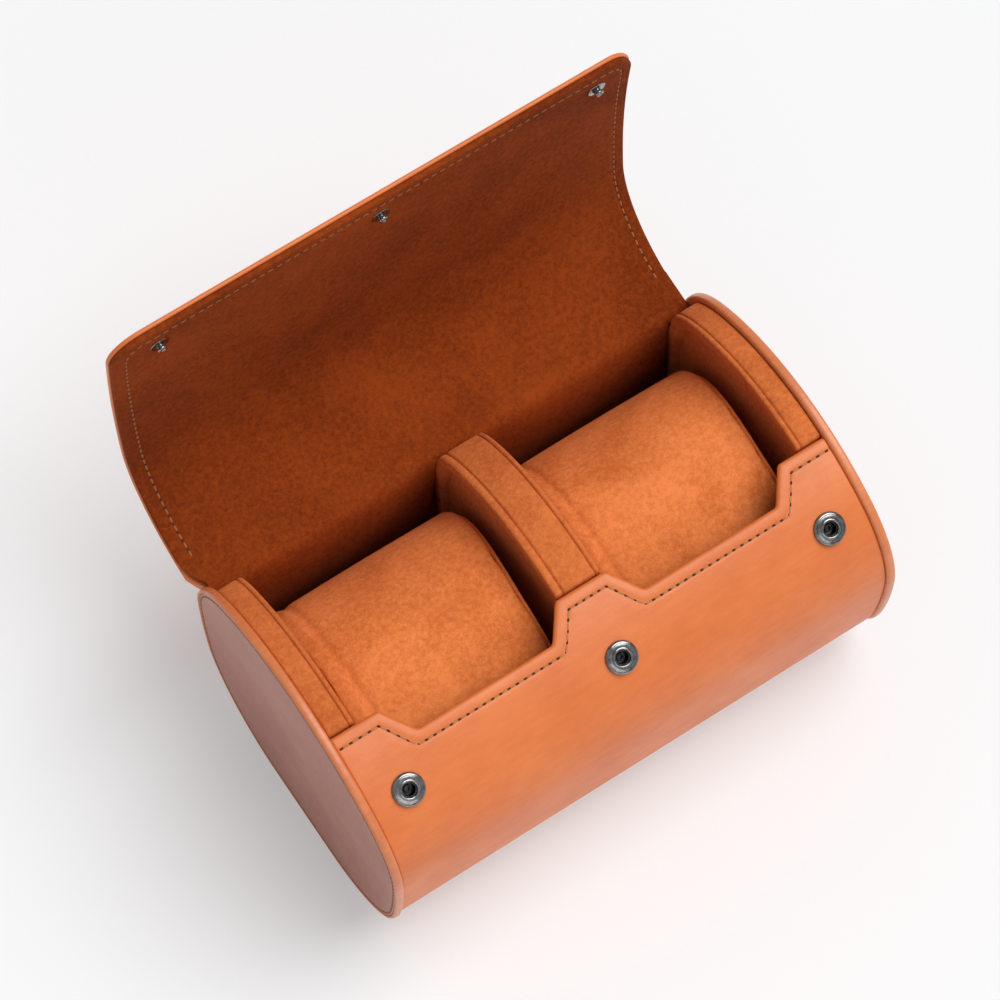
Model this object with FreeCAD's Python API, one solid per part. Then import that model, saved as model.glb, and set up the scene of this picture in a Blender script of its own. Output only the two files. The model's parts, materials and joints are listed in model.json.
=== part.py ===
import FreeCAD, Part
import math
import os

# Roll-shaped travel case for two watches, drawn with the lid standing open
# X runs along the roll, the front with the snap sockets faces -Y, the base lies on Z = 0

# End discs, the outline that the whole case follows, with the shell set back from it all but at the base
case_length = 185.0
case_width = 114.4
case_height = 106.2
base_half_flat_share = 0.14028
base_corner_share = 0.34218
widest_share = 0.58373
shoulder_share = 0.86471
disc_thick = 3.0
disc_leather = 1.2
rim_strip = 1.3
rim_round = 0.55

# Shell between the discs
shell_setback = 1.2
shell_leather = 1.5
shell_board = 1.1
shell_lining = 0.6
layer_gap = 0.02
board_edge_setback = 2.6
lining_edge_setback = 1.1

# Shaped front edge, three tabs with cut-outs between
tab_top_share = 0.15369
cutout_share = 0.24447
centre_tab_half = 9.0
centre_tab_foot = 16.6
end_tab_length = 19.9
end_tab_slope = 7.4

# Dividers
centre_divider = 16.0
end_divider = 9.2
divider_setback = 1.6
divider_band = 1.6
divider_fit = 0.25
divider_round = 1.2
band_lip = 3.0
divider_back_bend = 89.0
divider_back_y = 51.6
divider_back_z = 60.0
face_recess = 2.0
face_skin = 0.8

# Cushions
cushion_wall_gap = 9.5
cushion_top_gap = 16.0
cushion_draw_in = 3.0
cushion_crown = 0.3
cushion_corner = 3.0
cushion_cap = 1.0
cushion_cap_inset = 1.5
cushion_lift_gap = 0.35
cushion_side_gap = 0.4
cushion_far_gap = 4.5
piping = 1.3

# Lid, a leather flap that curls over the case, in strips that fold on each other
lid_setback = 0.2
lid_leather = 1.5
lid_lining = 1.8
lid_lip = 2.6
lid_groove = 0.35
lid_corner = 11.0
lid_rest_gap = 1.2
fold_gap = 0.3
hinge_rise = 11.0
back_panel = 51.6
front_strips = 4
low_open_radius = 38.0
high_open_radius = 360.0
open_lean = 5.0

# Hinge strip on the back of the shell
hinge_drop = 17.0
hinge_leather = 1.5
hinge_inset = 0.6
hinge_bulge = -0.5
hinge_seat_gap = 0.08

# Snap fasteners
snap_end = 15.9
snap_edge = 12.0
ring_radius = 5.35
ring_height = 1.6
ring_hole = 2.45
ring_round = 0.7
cup_wall = 0.35
cup_tube = 1.25
cup_tube_hole = 0.7
cup_tube_height = 1.1
back_washer = 4.6
back_washer_thick = 0.5
washer_gap = 0.35
stud_flange = 4.2
stud_flange_thick = 0.45
stud_neck = 1.15
stud_head = 1.55
stud_height = 2.3
stud_head_height = 1.2
stud_tip = 0.9
plate_radius = 5.0
plate_thick = 0.8
seat_gap = 0.05
hole_gap = 0.1
overrun = 40.0

X_AXIS = FreeCAD.Vector(1, 0, 0)
Z_AXIS = FreeCAD.Vector(0, 0, 1)


def vec(x, y, z):
    return FreeCAD.Vector(x, y, z)


# Section outline, a flat base, round lower corners, slightly bowed sides and a domed top
base_half_flat = case_width * base_half_flat_share
base_corner = case_width * base_corner_share
widest_height = case_height * widest_share
shoulder = (case_height - widest_height) * shoulder_share
shoulder_centre = (case_width / 2 - shoulder, widest_height)
crown_over = case_height - widest_height
crown_bend = crown_over - shoulder
crown_drop = (crown_bend**2 - shoulder_centre[0] ** 2) / (2 * crown_bend)
crown_radius = crown_over - crown_drop
crown_centre = (0.0, widest_height + crown_drop)
crown_turn = math.atan2(-crown_drop, shoulder_centre[0])


def polar(centre, radius, angle):
    return (centre[0] + radius * math.cos(angle), centre[1] + radius * math.sin(angle))


def arc(x, centre, radius, start, end):
    points = [polar(centre, radius, start + (end - start) * k / 2) for k in range(3)]
    return Part.Arc(*[vec(x, y, z) for y, z in points]).toShape()


def side_arc(inset, drop):
    corner = base_corner - inset
    corner_centre = (base_half_flat, base_corner - drop)
    half = case_width / 2 - inset
    bow = half - base_half_flat - corner
    rise = widest_height - corner_centre[1]
    radius = (rise * rise / bow + 2 * corner + bow) / 2
    turn = math.atan2(rise, radius - half + base_half_flat)
    return corner_centre, corner, (half - radius, widest_height), radius, turn


def section_wire(x, inset, drop=0):
    low, corner, side_centre, side_radius, turn = side_arc(inset, drop)
    right = [
        arc(x, low, corner, -math.pi / 2, -turn),
        arc(x, side_centre, side_radius, -turn, 0),
        arc(x, shoulder_centre, shoulder - inset, 0, crown_turn),
        arc(x, crown_centre, crown_radius - inset, crown_turn, math.pi - crown_turn),
    ]
    left = [edge.mirror(vec(0, 0, 0), vec(0, 1, 0)) for edge in right[:3]]
    base = inset - drop
    flat = Part.LineSegment(vec(x, -base_half_flat, base), vec(x, base_half_flat, base)).toShape()
    edges = Part.__sortEdges__([flat] + right + left)
    return Part.Wire(edges)


def section_solid(x0, x1, inset, drop=0):
    return Part.Face(section_wire(x0, inset, drop)).extrude(vec(x1 - x0, 0, 0))


def ring_solid(x0, x1, outer, inner, drop=0):
    body = section_solid(x0, x1, outer, drop)
    return body.cut(section_solid(x0 - overrun, x1 + overrun, inner, drop))


def prism(points, z0, z1):
    corners = [vec(x, y, z0) for x, y in points]
    wire = Part.makePolygon(corners + corners[:1])
    return Part.Face(wire).extrude(vec(0, 0, z1 - z0))


# The mouth, everything behind the shaped front edge and above the hinge line
hinge_z = widest_height + hinge_rise
tab_top_y = -case_width * tab_top_share
cutout_y = -case_width * cutout_share
end_tab_start = case_length / 2 - end_tab_length
end_tab_foot = end_tab_start - end_tab_slope


def mouth(grow, side_grow):
    reach = case_length
    top = tab_top_y - grow
    low = cutout_y - grow
    points = [
        (-reach, top),
        (-end_tab_start - side_grow, top),
        (-end_tab_foot - side_grow, low),
        (-centre_tab_foot + side_grow, low),
        (-centre_tab_half + side_grow, top),
        (centre_tab_half - side_grow, top),
        (centre_tab_foot - side_grow, low),
        (end_tab_foot + side_grow, low),
        (end_tab_start + side_grow, top),
        (reach, top),
        (reach, case_width),
        (-reach, case_width),
    ]
    return prism(points, hinge_z - grow, case_height + overrun)


shell_half = case_length / 2 - disc_thick
leather_in = shell_setback + shell_leather
board_in = leather_in + shell_board
lining_in = board_in + shell_lining

shell_skin = ring_solid(-shell_half, shell_half, shell_setback, leather_in, shell_setback).cut(mouth(0, 0))
shell_core = ring_solid(-shell_half, shell_half, leather_in + layer_gap, board_in, shell_setback)
shell_core = shell_core.cut(mouth(board_edge_setback, board_edge_setback))
shell_suede = ring_solid(-shell_half, shell_half, board_in + layer_gap, lining_in, shell_setback)
shell_suede = shell_suede.cut(mouth(lining_edge_setback, lining_edge_setback))

# End discs, each a board with a leather face and a leather strip round its edge
disc_face_in = case_length / 2 - disc_leather


def end_disc(side):
    near, mid, far = shell_half, disc_face_in, case_length / 2
    board = section_solid(side * near, side * (mid - layer_gap), rim_strip + layer_gap)
    face = section_solid(side * mid, side * far, rim_strip + layer_gap)
    rim = ring_solid(min(side * near, side * far), max(side * near, side * far), 0, rim_strip)
    outer = [e for e in rim.Edges if edge_on_outline(e)]
    rim = rim.makeFillet(rim_round, outer)
    return board, face, rim


def edge_on_outline(edge):
    box = edge.BoundBox
    if box.XLength > layer_gap:
        return False
    mids = [edge.valueAt(edge.FirstParameter + (edge.LastParameter - edge.FirstParameter) / 2)]
    point = mids[0]
    probe = Part.Vertex(point)
    return probe.distToShape(section_wire(point.x, 0))[0] < layer_gap


left_board, left_face, left_rim = end_disc(-1)
right_board, right_face, right_rim = end_disc(1)


# Dividers, a core with a suede band over its rounded edge and a recessed suede face on each open side
def divider_blank(x0, x1, inset, rounding=0):
    dome = section_solid(x0, x1, divider_setback + inset, shell_setback)
    back_bend = divider_back_bend - inset
    start = vec(x0, divider_back_y - divider_back_bend, divider_back_z)
    dome = dome.common(Part.makeCylinder(back_bend, x1 - x0, start, X_AXIS))
    if rounding:
        dome = dome.makeFillet(rounding, [e for e in dome.Edges if e.BoundBox.XLength < layer_gap])
    low = section_solid(x0, x1, lining_in + divider_fit + inset, shell_setback)
    open_part = dome.common(mouth(-divider_fit, divider_fit))
    return open_part.fuse(low).removeSplitter()


def divider(x0, x1, faces):
    blank = divider_blank(x0, x1, 0, divider_round)
    core = divider_blank(x0 - overrun, x1 + overrun, divider_band)
    lip = divider_blank(x0 - overrun, x1 + overrun, divider_band + band_lip)
    inner0 = x0 + (face_recess + face_skin if -1 in faces else 0)
    inner1 = x1 - (face_recess + face_skin if 1 in faces else 0)
    middle = Part.makeBox(
        inner1 - inner0, case_width, case_height, vec(inner0, -case_width / 2, 0)
    )
    core = core.common(middle)
    band = blank.cut(core).cut(lip)
    skins = []
    for side in faces:
        a = x0 + face_recess if side < 0 else x1 - face_recess - face_skin
        slab = Part.makeBox(face_skin, case_width, case_height, vec(a, -case_width / 2, 0))
        skins.append(divider_blank(x0 - overrun, x1 + overrun, divider_band + band_lip + layer_gap).common(slab))
    return core, band, skins


left_core, left_band, left_skins = divider(-shell_half, -shell_half + end_divider, [1])
mid_core, mid_band, mid_skins = divider(-centre_divider / 2, centre_divider / 2, [-1, 1])
right_core, right_band, right_skins = divider(shell_half - end_divider, shell_half, [-1])


# Cushions, crowned barrels whose ends draw in to a seamed cap
cushion_low = lining_in - shell_setback + cushion_lift_gap
cushion_radius = min(
    case_width / 2 - lining_in - cushion_wall_gap,
    (case_height - cushion_low - cushion_top_gap) / 2,
)
cushion_length = shell_half - end_divider - centre_divider / 2 - cushion_side_gap - cushion_far_gap
cushion_end_radius = cushion_radius - cushion_draw_in
cushion_cap_radius = cushion_end_radius - cushion_cap_inset
cushion_z = cushion_low + cushion_radius
cushion_x = {
    "left": -shell_half + end_divider + cushion_side_gap,
    "right": centre_divider / 2 + cushion_side_gap,
}


def cushion(x0):
    cap_step = cushion_cap + layer_gap
    a, b = x0 + cap_step, x0 + cushion_length - cap_step
    side = cushion_radius - cushion_crown
    near, far = a + cushion_corner, b - cushion_corner
    turn = math.sqrt(0.5)
    run = side - cushion_end_radius

    def at(x, r):
        return vec(x, 0, cushion_z + r)

    edges = [
        Part.LineSegment(at(a, 0), at(a, cushion_end_radius)).toShape(),
        Part.Arc(
            at(a, cushion_end_radius),
            at(near - cushion_corner * turn, cushion_end_radius + run * turn),
            at(near, side),
        ).toShape(),
        Part.Arc(at(near, side), at((a + b) / 2, cushion_radius), at(far, side)).toShape(),
        Part.Arc(
            at(far, side),
            at(far + cushion_corner * turn, cushion_end_radius + run * turn),
            at(b, cushion_end_radius),
        ).toShape(),
        Part.LineSegment(at(b, cushion_end_radius), at(b, 0)).toShape(),
        Part.LineSegment(at(b, 0), at(a, 0)).toShape(),
    ]
    pad = Part.Face(Part.Wire(edges)).revolve(vec(0, 0, cushion_z), X_AXIS, 360)
    caps = [
        Part.makeCylinder(cushion_cap_radius, cushion_cap, vec(x, 0, cushion_z), X_AXIS)
        for x in (x0, x0 + cushion_length - cushion_cap)
    ]
    cord = piping / 2
    cords = [
        Part.makeTorus(cushion_cap_radius + cord + layer_gap, cord, vec(x, 0, cushion_z), X_AXIS)
        for x in (a - cord - layer_gap, b + cord + layer_gap)
    ]
    return pad, caps, cords


left_pad, left_caps, left_cords = cushion(cushion_x["left"])
right_pad, right_caps, right_cords = cushion(cushion_x["right"])


# Path of the closed lid over the back shoulder and the crown, by distance from the hinge
path_shoulder = shoulder + lid_rest_gap
path_crown = crown_radius + lid_rest_gap
start_turn = math.asin(hinge_rise / path_shoulder)
shoulder_run = path_shoulder * (crown_turn - start_turn)
crown_run = path_crown * (math.pi - 2 * crown_turn)
stud_run = shoulder_run + crown_run


def on_path(run):
    if run <= shoulder_run:
        return polar(shoulder_centre, path_shoulder, start_turn + run / path_shoulder)
    return polar(crown_centre, path_crown, crown_turn + (run - shoulder_run) / path_crown)


# Fold points and open radius of each strip
front_step = (stud_run + snap_edge - back_panel) / front_strips
runs = [0] + [back_panel + front_step * k for k in range(front_strips)]
folds = [on_path(run) for run in runs]
stud_point = on_path(stud_run)
count = len(folds)
radii = [low_open_radius] + [high_open_radius] * front_strips
ends = folds[1:] + [stud_point]
chords = [math.hypot(e[0] - f[0], e[1] - f[1]) for f, e in zip(folds, ends)]
leans = [math.atan2(e[1] - f[1], e[0] - f[0]) for f, e in zip(folds, ends)]
half_turns = [math.asin(c / (2 * r)) for c, r in zip(chords, radii)]

# Turn at each fold from open to closed, worked out so that the open lid is one smooth curve
starts = [lean - turn for lean, turn in zip(leans, half_turns)]
stops = [lean + turn for lean, turn in zip(leans, half_turns)]
turns = [starts[0] - math.radians(open_lean)]
turns += [math.remainder(starts[k] - stops[k - 1], 2 * math.pi) for k in range(1, count)]


def turned(point, pivot, angle):
    y, z = point[0] - pivot[0], point[1] - pivot[1]
    c, s = math.cos(angle), math.sin(angle)
    return (pivot[0] + y * c - z * s, pivot[1] + y * s + z * c)


def opened(point, strip):
    for k in range(strip, -1, -1):
        point = turned(point, folds[k], -turns[k])
    return point


def opened_shape(shape, strip):
    shape = shape.copy()
    for k in range(strip, -1, -1):
        shape.rotate(vec(0, folds[k][0], folds[k][1]), X_AXIS, -math.degrees(turns[k]))
    return shape


# One strip in its closed place, a slice of a ring between two radial faces
last_turn = snap_edge / high_open_radius
lid_half = case_length / 2 - lid_setback


def strip_centre(k):
    angle = starts[k] + math.pi / 2
    return polar(folds[k], radii[k], angle)


def fold_slack(k):
    if k == 0:
        return fold_gap
    return fold_gap / 2 + max(0, -turns[k]) * (lid_leather + lid_lining) / 2


def strip_span(k):
    first = starts[k] - math.pi / 2
    last = stops[k] - math.pi / 2
    first = first + fold_slack(k) / radii[k]
    last = last + last_turn if k == count - 1 else last - fold_slack(k + 1) / radii[k]
    return first, last


def strip_layer(k, x0, x1, low, high, trim):
    centre = strip_centre(k)
    first, last = strip_span(k)
    last = last - trim / radii[k]
    inner, outer = radii[k] + low, radii[k] + high
    edges = [
        arc(x0, centre, inner, first, last),
        Part.LineSegment(
            vec(x0, *polar(centre, inner, last)), vec(x0, *polar(centre, outer, last))
        ).toShape(),
        arc(x0, centre, outer, last, first),
        Part.LineSegment(
            vec(x0, *polar(centre, outer, first)), vec(x0, *polar(centre, inner, first))
        ).toShape(),
    ]
    return Part.Face(Part.Wire(edges)).extrude(vec(x1 - x0, 0, 0))


def round_tip(solid, radius):
    fold = vec(0, folds[-1][0], folds[-1][1])
    tips = []
    for edge in solid.Edges:
        middle = edge.valueAt((edge.FirstParameter + edge.LastParameter) / 2)
        reach = math.hypot(middle.y - fold.y, middle.z - fold.z)
        if edge.BoundBox.XLength < layer_gap and edge.Length < lid_lip * 2 and reach > snap_edge:
            tips.append(edge)
    return solid.makeFillet(radius, tips)


lid_skins = []
lid_suedes = []
for k in range(count):
    total = lid_leather + lid_lining
    tail = k == count - 1
    outer = strip_layer(k, -lid_half, lid_half, 0, total, 0)
    suede = strip_layer(
        k,
        -lid_half + lid_lip + lid_groove,
        lid_half - lid_lip - lid_groove,
        0,
        lid_lining - layer_gap,
        lid_lip + lid_groove if tail else 0,
    )
    bed = strip_layer(k, -lid_half + lid_lip, lid_half - lid_lip, 0, lid_lining, lid_lip if tail else 0)
    if tail:
        outer = round_tip(outer, lid_corner)
        bed = round_tip(bed, lid_corner - lid_lip)
        suede = round_tip(suede, lid_corner - lid_lip - lid_groove)
    lid_skins.append(outer.cut(bed))
    lid_suedes.append(suede)


# Snap fasteners in their closed places, studs on the last strip and sockets on the front
snap_pitch = case_length / 2 - snap_end
stud_out = stops[-1] - math.pi / 2
stud_axis = vec(0, math.cos(stud_out), math.sin(stud_out))
stud_seat = vec(0, stud_point[0], stud_point[1])
front_faces = section_solid(-snap_pitch, snap_pitch, shell_setback, shell_setback)


def on_leather(start):
    ray = Part.LineSegment(start, start - stud_axis * overrun).toShape()
    inside = ray.common(front_faces)
    return max((v.Point for v in inside.Vertexes), key=lambda p: (p - start).dot(stud_axis))


# A socket seats on the highest leather under its ring
seat_side = stud_axis.cross(X_AXIS) * ring_radius
leather_seat = on_leather(stud_seat)
rim_hits = [on_leather(stud_seat + seat_side), on_leather(stud_seat - seat_side)]
leather_seat = leather_seat + stud_axis * max([0] + [(p - leather_seat).dot(stud_axis) for p in rim_hits])


def turned_profile(points, seat, axis):
    corners = [vec(r, 0, h) for r, h in points]
    body = Part.Face(Part.makePolygon(corners + corners[:1])).revolve(vec(0, 0, 0), Z_AXIS, 360)
    body.Placement = FreeCAD.Placement(seat, FreeCAD.Rotation(Z_AXIS, axis))
    return body


def snap_places(seat):
    return [seat + X_AXIS * (snap_pitch * k) for k in (-1, 0, 1)]


washer_seat = shell_leather + back_washer * back_washer / (2 * crown_radius) + washer_gap
cup_depth = washer_seat + back_washer_thick
socket_ring = [
    (ring_hole, 0),
    (ring_radius, 0),
    (ring_radius, ring_height - ring_round),
    (ring_radius - ring_round, ring_height),
    (ring_hole + ring_round / 2, ring_height),
    (ring_hole, ring_height - ring_round / 2),
]
socket_cup = [
    (0, -cup_depth),
    (ring_hole - seat_gap, -cup_depth),
    (ring_hole - seat_gap, ring_height - ring_round),
    (ring_hole - cup_wall, ring_height - ring_round),
    (ring_hole - cup_wall, -cup_depth + cup_wall),
    (cup_tube, -cup_depth + cup_wall),
    (cup_tube, -cup_depth + cup_tube_height),
    (cup_tube_hole, -cup_depth + cup_tube_height),
    (cup_tube_hole, -cup_depth + cup_wall),
    (0, -cup_depth + cup_wall),
]
washer = [
    (ring_hole, -cup_depth),
    (back_washer, -cup_depth),
    (back_washer, -washer_seat),
    (ring_hole, -washer_seat),
]
rings = []
cups = []
washers = []
for place in snap_places(leather_seat):
    lifted = place + stud_axis * seat_gap
    rings.append(turned_profile(socket_ring, lifted, stud_axis))
    cups.append(turned_profile(socket_cup, lifted, stud_axis))
    washers.append(turned_profile(washer, lifted, stud_axis))
    start = place - stud_axis * (overrun / 2)
    shell_skin = shell_skin.cut(Part.makeCylinder(ring_hole + hole_gap, overrun, start, stud_axis))
    shell_core = shell_core.cut(Part.makeCylinder(back_washer + hole_gap, overrun, start, stud_axis))

# Studs point inwards, each held by a plate between the lining and the leather
stud_profile = [
    (0, seat_gap),
    (stud_flange, seat_gap),
    (stud_flange, stud_flange_thick / 2),
    (stud_flange / 2, stud_flange_thick),
    (stud_neck, stud_flange_thick),
    (stud_neck, stud_height - stud_head_height),
    (stud_head, stud_height - stud_head_height * 2 / 3),
    (stud_head, stud_height - stud_head_height / 3),
    (stud_tip, stud_height),
    (0, stud_height),
]
plate_profile = [
    (0, lid_lining + seat_gap),
    (plate_radius, lid_lining + seat_gap),
    (plate_radius, lid_lining + plate_thick),
    (0, lid_lining + plate_thick),
]
studs = [turned_profile(stud_profile, place, -stud_axis) for place in snap_places(stud_seat)]
plates = [turned_profile(plate_profile, place, stud_axis) for place in snap_places(stud_seat)]
pocket_depth = lid_lining + plate_thick + seat_gap
for place in snap_places(stud_seat):
    pocket = Part.makeCylinder(plate_radius + hole_gap, pocket_depth, place, stud_axis)
    lid_skins[-1] = lid_skins[-1].cut(pocket)


# Hinge strip, leather that leaves the back of the shell and meets the foot of the lid
hinge_top = (folds[0][0], folds[0][1])
hinge_low_z = hinge_z - hinge_drop


def outline_y(z, inset):
    if z < widest_height:
        rise = widest_height - z
        side_centre, side_radius = side_arc(shell_setback, shell_setback)[2:4]
        return side_centre[0] + math.sqrt((side_radius + shell_setback - inset) ** 2 - rise * rise)
    rise = z - widest_height
    return shoulder_centre[0] + math.sqrt((shoulder - inset) ** 2 - rise * rise)


def hinge_face(x):
    back = shell_setback - hinge_seat_gap
    foot_y = outline_y(hinge_low_z, back)
    top_z = hinge_z - fold_gap
    mid_z = (hinge_low_z + top_z) / 2
    side_centre, side_radius = side_arc(shell_setback, shell_setback)[2:4]
    side_radius = side_radius + hinge_seat_gap
    low_turn = math.asin((widest_height - hinge_low_z) / side_radius)
    top_turn = math.asin((top_z - widest_height) / (shoulder - back))
    edges = [
        arc(x, side_centre, side_radius, -low_turn, 0),
        arc(x, shoulder_centre, shoulder - back, 0, top_turn),
        Part.LineSegment(
            vec(x, outline_y(top_z, back), top_z), vec(x, hinge_top[0] - fold_gap, top_z)
        ).toShape(),
        Part.Arc(
            vec(x, hinge_top[0] - fold_gap, top_z),
            vec(x, outline_y(mid_z, hinge_bulge), mid_z),
            vec(x, foot_y + hinge_leather, hinge_low_z + hinge_leather),
        ).toShape(),
        Part.LineSegment(
            vec(x, foot_y + hinge_leather, hinge_low_z + hinge_leather),
            vec(x, foot_y, hinge_low_z),
        ).toShape(),
    ]
    return Part.Face(Part.Wire(edges))


hinge_half = shell_half - hinge_inset
hinge_strip = hinge_face(-hinge_half).extrude(vec(2 * hinge_half, 0, 0))


# Every node in its own file
nodes = {
    "shell_leather": [shell_skin],
    "shell_board": [shell_core],
    "shell_lining": [shell_suede],
    "left_end_board": [left_board],
    "left_end_leather": [left_face],
    "left_end_rim_strip": [left_rim],
    "right_end_board": [right_board],
    "right_end_leather": [right_face],
    "right_end_rim_strip": [right_rim],
    "left_divider_core": [left_core],
    "left_divider_band": [left_band],
    "left_divider_face": left_skins,
    "centre_divider_core": [mid_core],
    "centre_divider_band": [mid_band],
    "centre_divider_faces": mid_skins,
    "right_divider_core": [right_core],
    "right_divider_band": [right_band],
    "right_divider_face": right_skins,
    "left_cushion_pad": [left_pad],
    "left_cushion_end_caps": left_caps,
    "left_cushion_piping": left_cords,
    "right_cushion_pad": [right_pad],
    "right_cushion_end_caps": right_caps,
    "right_cushion_piping": right_cords,
    "snap_socket_rings": rings,
    "snap_socket_cups": cups,
    "snap_back_washers": washers,
    "hinge_strip": [hinge_strip],
    "snap_studs": [opened_shape(s, count - 1) for s in studs],
    "snap_stud_plates": [opened_shape(s, count - 1) for s in plates],
}
for k in range(count):
    nodes["lid_leather_%d" % (k + 1)] = [opened_shape(lid_skins[k], k)]
    nodes["lid_lining_%d" % (k + 1)] = [opened_shape(lid_suedes[k], k)]

os.makedirs("parts", exist_ok=True)
for name, shapes in nodes.items():
    shape = shapes[0] if len(shapes) == 1 else Part.makeCompound(shapes)
    shape.exportStep("parts/" + name + ".step")

for k in range(count):
    y, z = opened(folds[k], k - 1) if k else folds[0]
    print("fold", k + 1, "at y %.4f z %.4f" % (y, z), "closes by %.4f degrees" % math.degrees(turns[k]))
y, z = opened(stud_point, count - 1)
print("studs open at y %.2f z %.2f, sockets at y %.2f z %.2f" % (y, z, leather_seat.y, leather_seat.z))
for name, shapes in nodes.items():
    for shape in shapes:
        if not shape.isValid() or len(shape.Solids) != 1:
            print("check", name, shape.isValid(), len(shape.Solids))
print("nodes", len(nodes))
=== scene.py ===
import json
import math

import bmesh
import bpy
import numpy as np
from mathutils import Matrix, Vector


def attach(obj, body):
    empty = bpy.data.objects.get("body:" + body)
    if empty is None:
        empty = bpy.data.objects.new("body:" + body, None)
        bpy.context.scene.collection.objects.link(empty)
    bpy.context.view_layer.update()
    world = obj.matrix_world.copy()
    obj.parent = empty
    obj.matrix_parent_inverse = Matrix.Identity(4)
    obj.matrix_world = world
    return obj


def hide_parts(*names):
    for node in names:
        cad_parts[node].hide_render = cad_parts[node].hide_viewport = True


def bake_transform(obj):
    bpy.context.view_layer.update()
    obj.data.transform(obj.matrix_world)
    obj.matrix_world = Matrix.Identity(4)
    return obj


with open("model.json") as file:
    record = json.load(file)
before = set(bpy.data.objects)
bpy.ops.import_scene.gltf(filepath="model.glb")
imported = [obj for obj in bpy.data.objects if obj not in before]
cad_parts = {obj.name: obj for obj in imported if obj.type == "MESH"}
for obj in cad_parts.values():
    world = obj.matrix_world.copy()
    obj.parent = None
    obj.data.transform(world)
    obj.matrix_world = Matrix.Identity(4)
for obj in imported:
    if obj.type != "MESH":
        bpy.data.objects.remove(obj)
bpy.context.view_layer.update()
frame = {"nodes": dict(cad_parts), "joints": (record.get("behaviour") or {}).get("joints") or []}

# Camera and studio. The case stands on a pale floor under soft lamps, seen from high above its
# front left, through a long lens.
eye = Vector((-0.29570, -0.42217, 1.33046))
camera_right = Vector((0.83485, -0.55048, 0.0))
camera_down = Vector((-0.50559, -0.76676, -0.39555))
camera_ahead = Vector((0.21774, 0.33022, -0.91845))
camera = bpy.data.objects.new("camera", bpy.data.cameras.new("camera"))
bpy.context.scene.collection.objects.link(camera)
turned = Matrix((camera_right, -camera_down, -camera_ahead)).transposed().to_4x4()
camera.matrix_world = Matrix.Translation(eye) @ turned
camera.data.sensor_width = 36
camera.data.lens = 158.4
bpy.context.scene.camera = camera
bpy.context.scene.view_settings.view_transform = "Standard"

paper_white, paper_grey = (0.913, 0.913, 0.913, 1), (0.86, 0.86, 0.86, 1)
paper_glow, studio_light = 0.3, 0.42


def soft_lamp(name, place, aim, width, height, power):
    """A rectangular lamp at a place, turned towards a point."""
    lamp = bpy.data.objects.new(name, bpy.data.lights.new(name, "AREA"))
    lamp.data.shape = "RECTANGLE"
    lamp.data.size = width
    lamp.data.size_y = height
    lamp.data.energy = power
    lamp.location = place
    lamp.rotation_euler = (Vector(aim) - Vector(place)).to_track_quat("-Z", "Y").to_euler()
    bpy.context.scene.collection.objects.link(lamp)


key = bpy.data.objects.new("key_lamp", bpy.data.lights.new("key_lamp", "SUN"))
key.data.energy = 2.38
key.data.angle = math.radians(45)
key.rotation_euler = Vector((-0.42, 0.14, -0.95)).to_track_quat("-Z", "Y").to_euler()
bpy.context.scene.collection.objects.link(key)
soft_lamp("front_lamp", (-0.2, -1.1, 0.75), (0, 0, 0.06), 0.8, 0.5, 1.6)


def new_material(name):
    """An empty node material, with its nodes and links."""
    material = bpy.data.materials.new(name)
    material.use_nodes = True
    material.node_tree.nodes.clear()
    return material, material.node_tree.nodes, material.node_tree.links


world = bpy.data.worlds.new("studio")
bpy.context.scene.world = world
world.use_nodes = True
nodes, links = world.node_tree.nodes, world.node_tree.links
nodes.clear()
path = nodes.new("ShaderNodeLightPath")
lit = nodes.new("ShaderNodeBackground")
lit.inputs["Color"].default_value = (0.95, 0.97, 1.0, 1)
lit.inputs["Strength"].default_value = studio_light
seen = nodes.new("ShaderNodeBackground")
seen.inputs["Color"].default_value = paper_white
mix = nodes.new("ShaderNodeMixShader")
links.new(path.outputs["Is Camera Ray"], mix.inputs["Fac"])
links.new(lit.outputs[0], mix.inputs[1])
links.new(seen.outputs[0], mix.inputs[2])
links.new(mix.outputs[0], nodes.new("ShaderNodeOutputWorld").inputs["Surface"])

material, nodes, links = new_material("paper_floor")
path = nodes.new("ShaderNodeLightPath")
paper = nodes.new("ShaderNodeBsdfDiffuse")
paper.inputs["Color"].default_value = paper_grey
glow = nodes.new("ShaderNodeEmission")
glow.inputs["Color"].default_value = paper_white
share = nodes.new("ShaderNodeMath")
share.operation = "MULTIPLY"
share.inputs[1].default_value = paper_glow
mix = nodes.new("ShaderNodeMixShader")
links.new(path.outputs["Is Camera Ray"], share.inputs[0])
links.new(share.outputs[0], mix.inputs["Fac"])
links.new(paper.outputs[0], mix.inputs[1])
links.new(glow.outputs[0], mix.inputs[2])
links.new(mix.outputs[0], nodes.new("ShaderNodeOutputMaterial").inputs["Surface"])

floor_half = 3.0
floor_mesh = bpy.data.meshes.new("floor")
floor_corners = [(floor_half * x, floor_half * y, 0) for x, y in ((-1, -1), (1, -1), (1, 1), (-1, 1))]
floor_mesh.from_pydata(floor_corners, [], [(0, 1, 2, 3)])
floor_mesh.materials.append(material)
floor = bpy.data.objects.new("floor", floor_mesh)
bpy.context.scene.collection.objects.link(floor)

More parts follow.
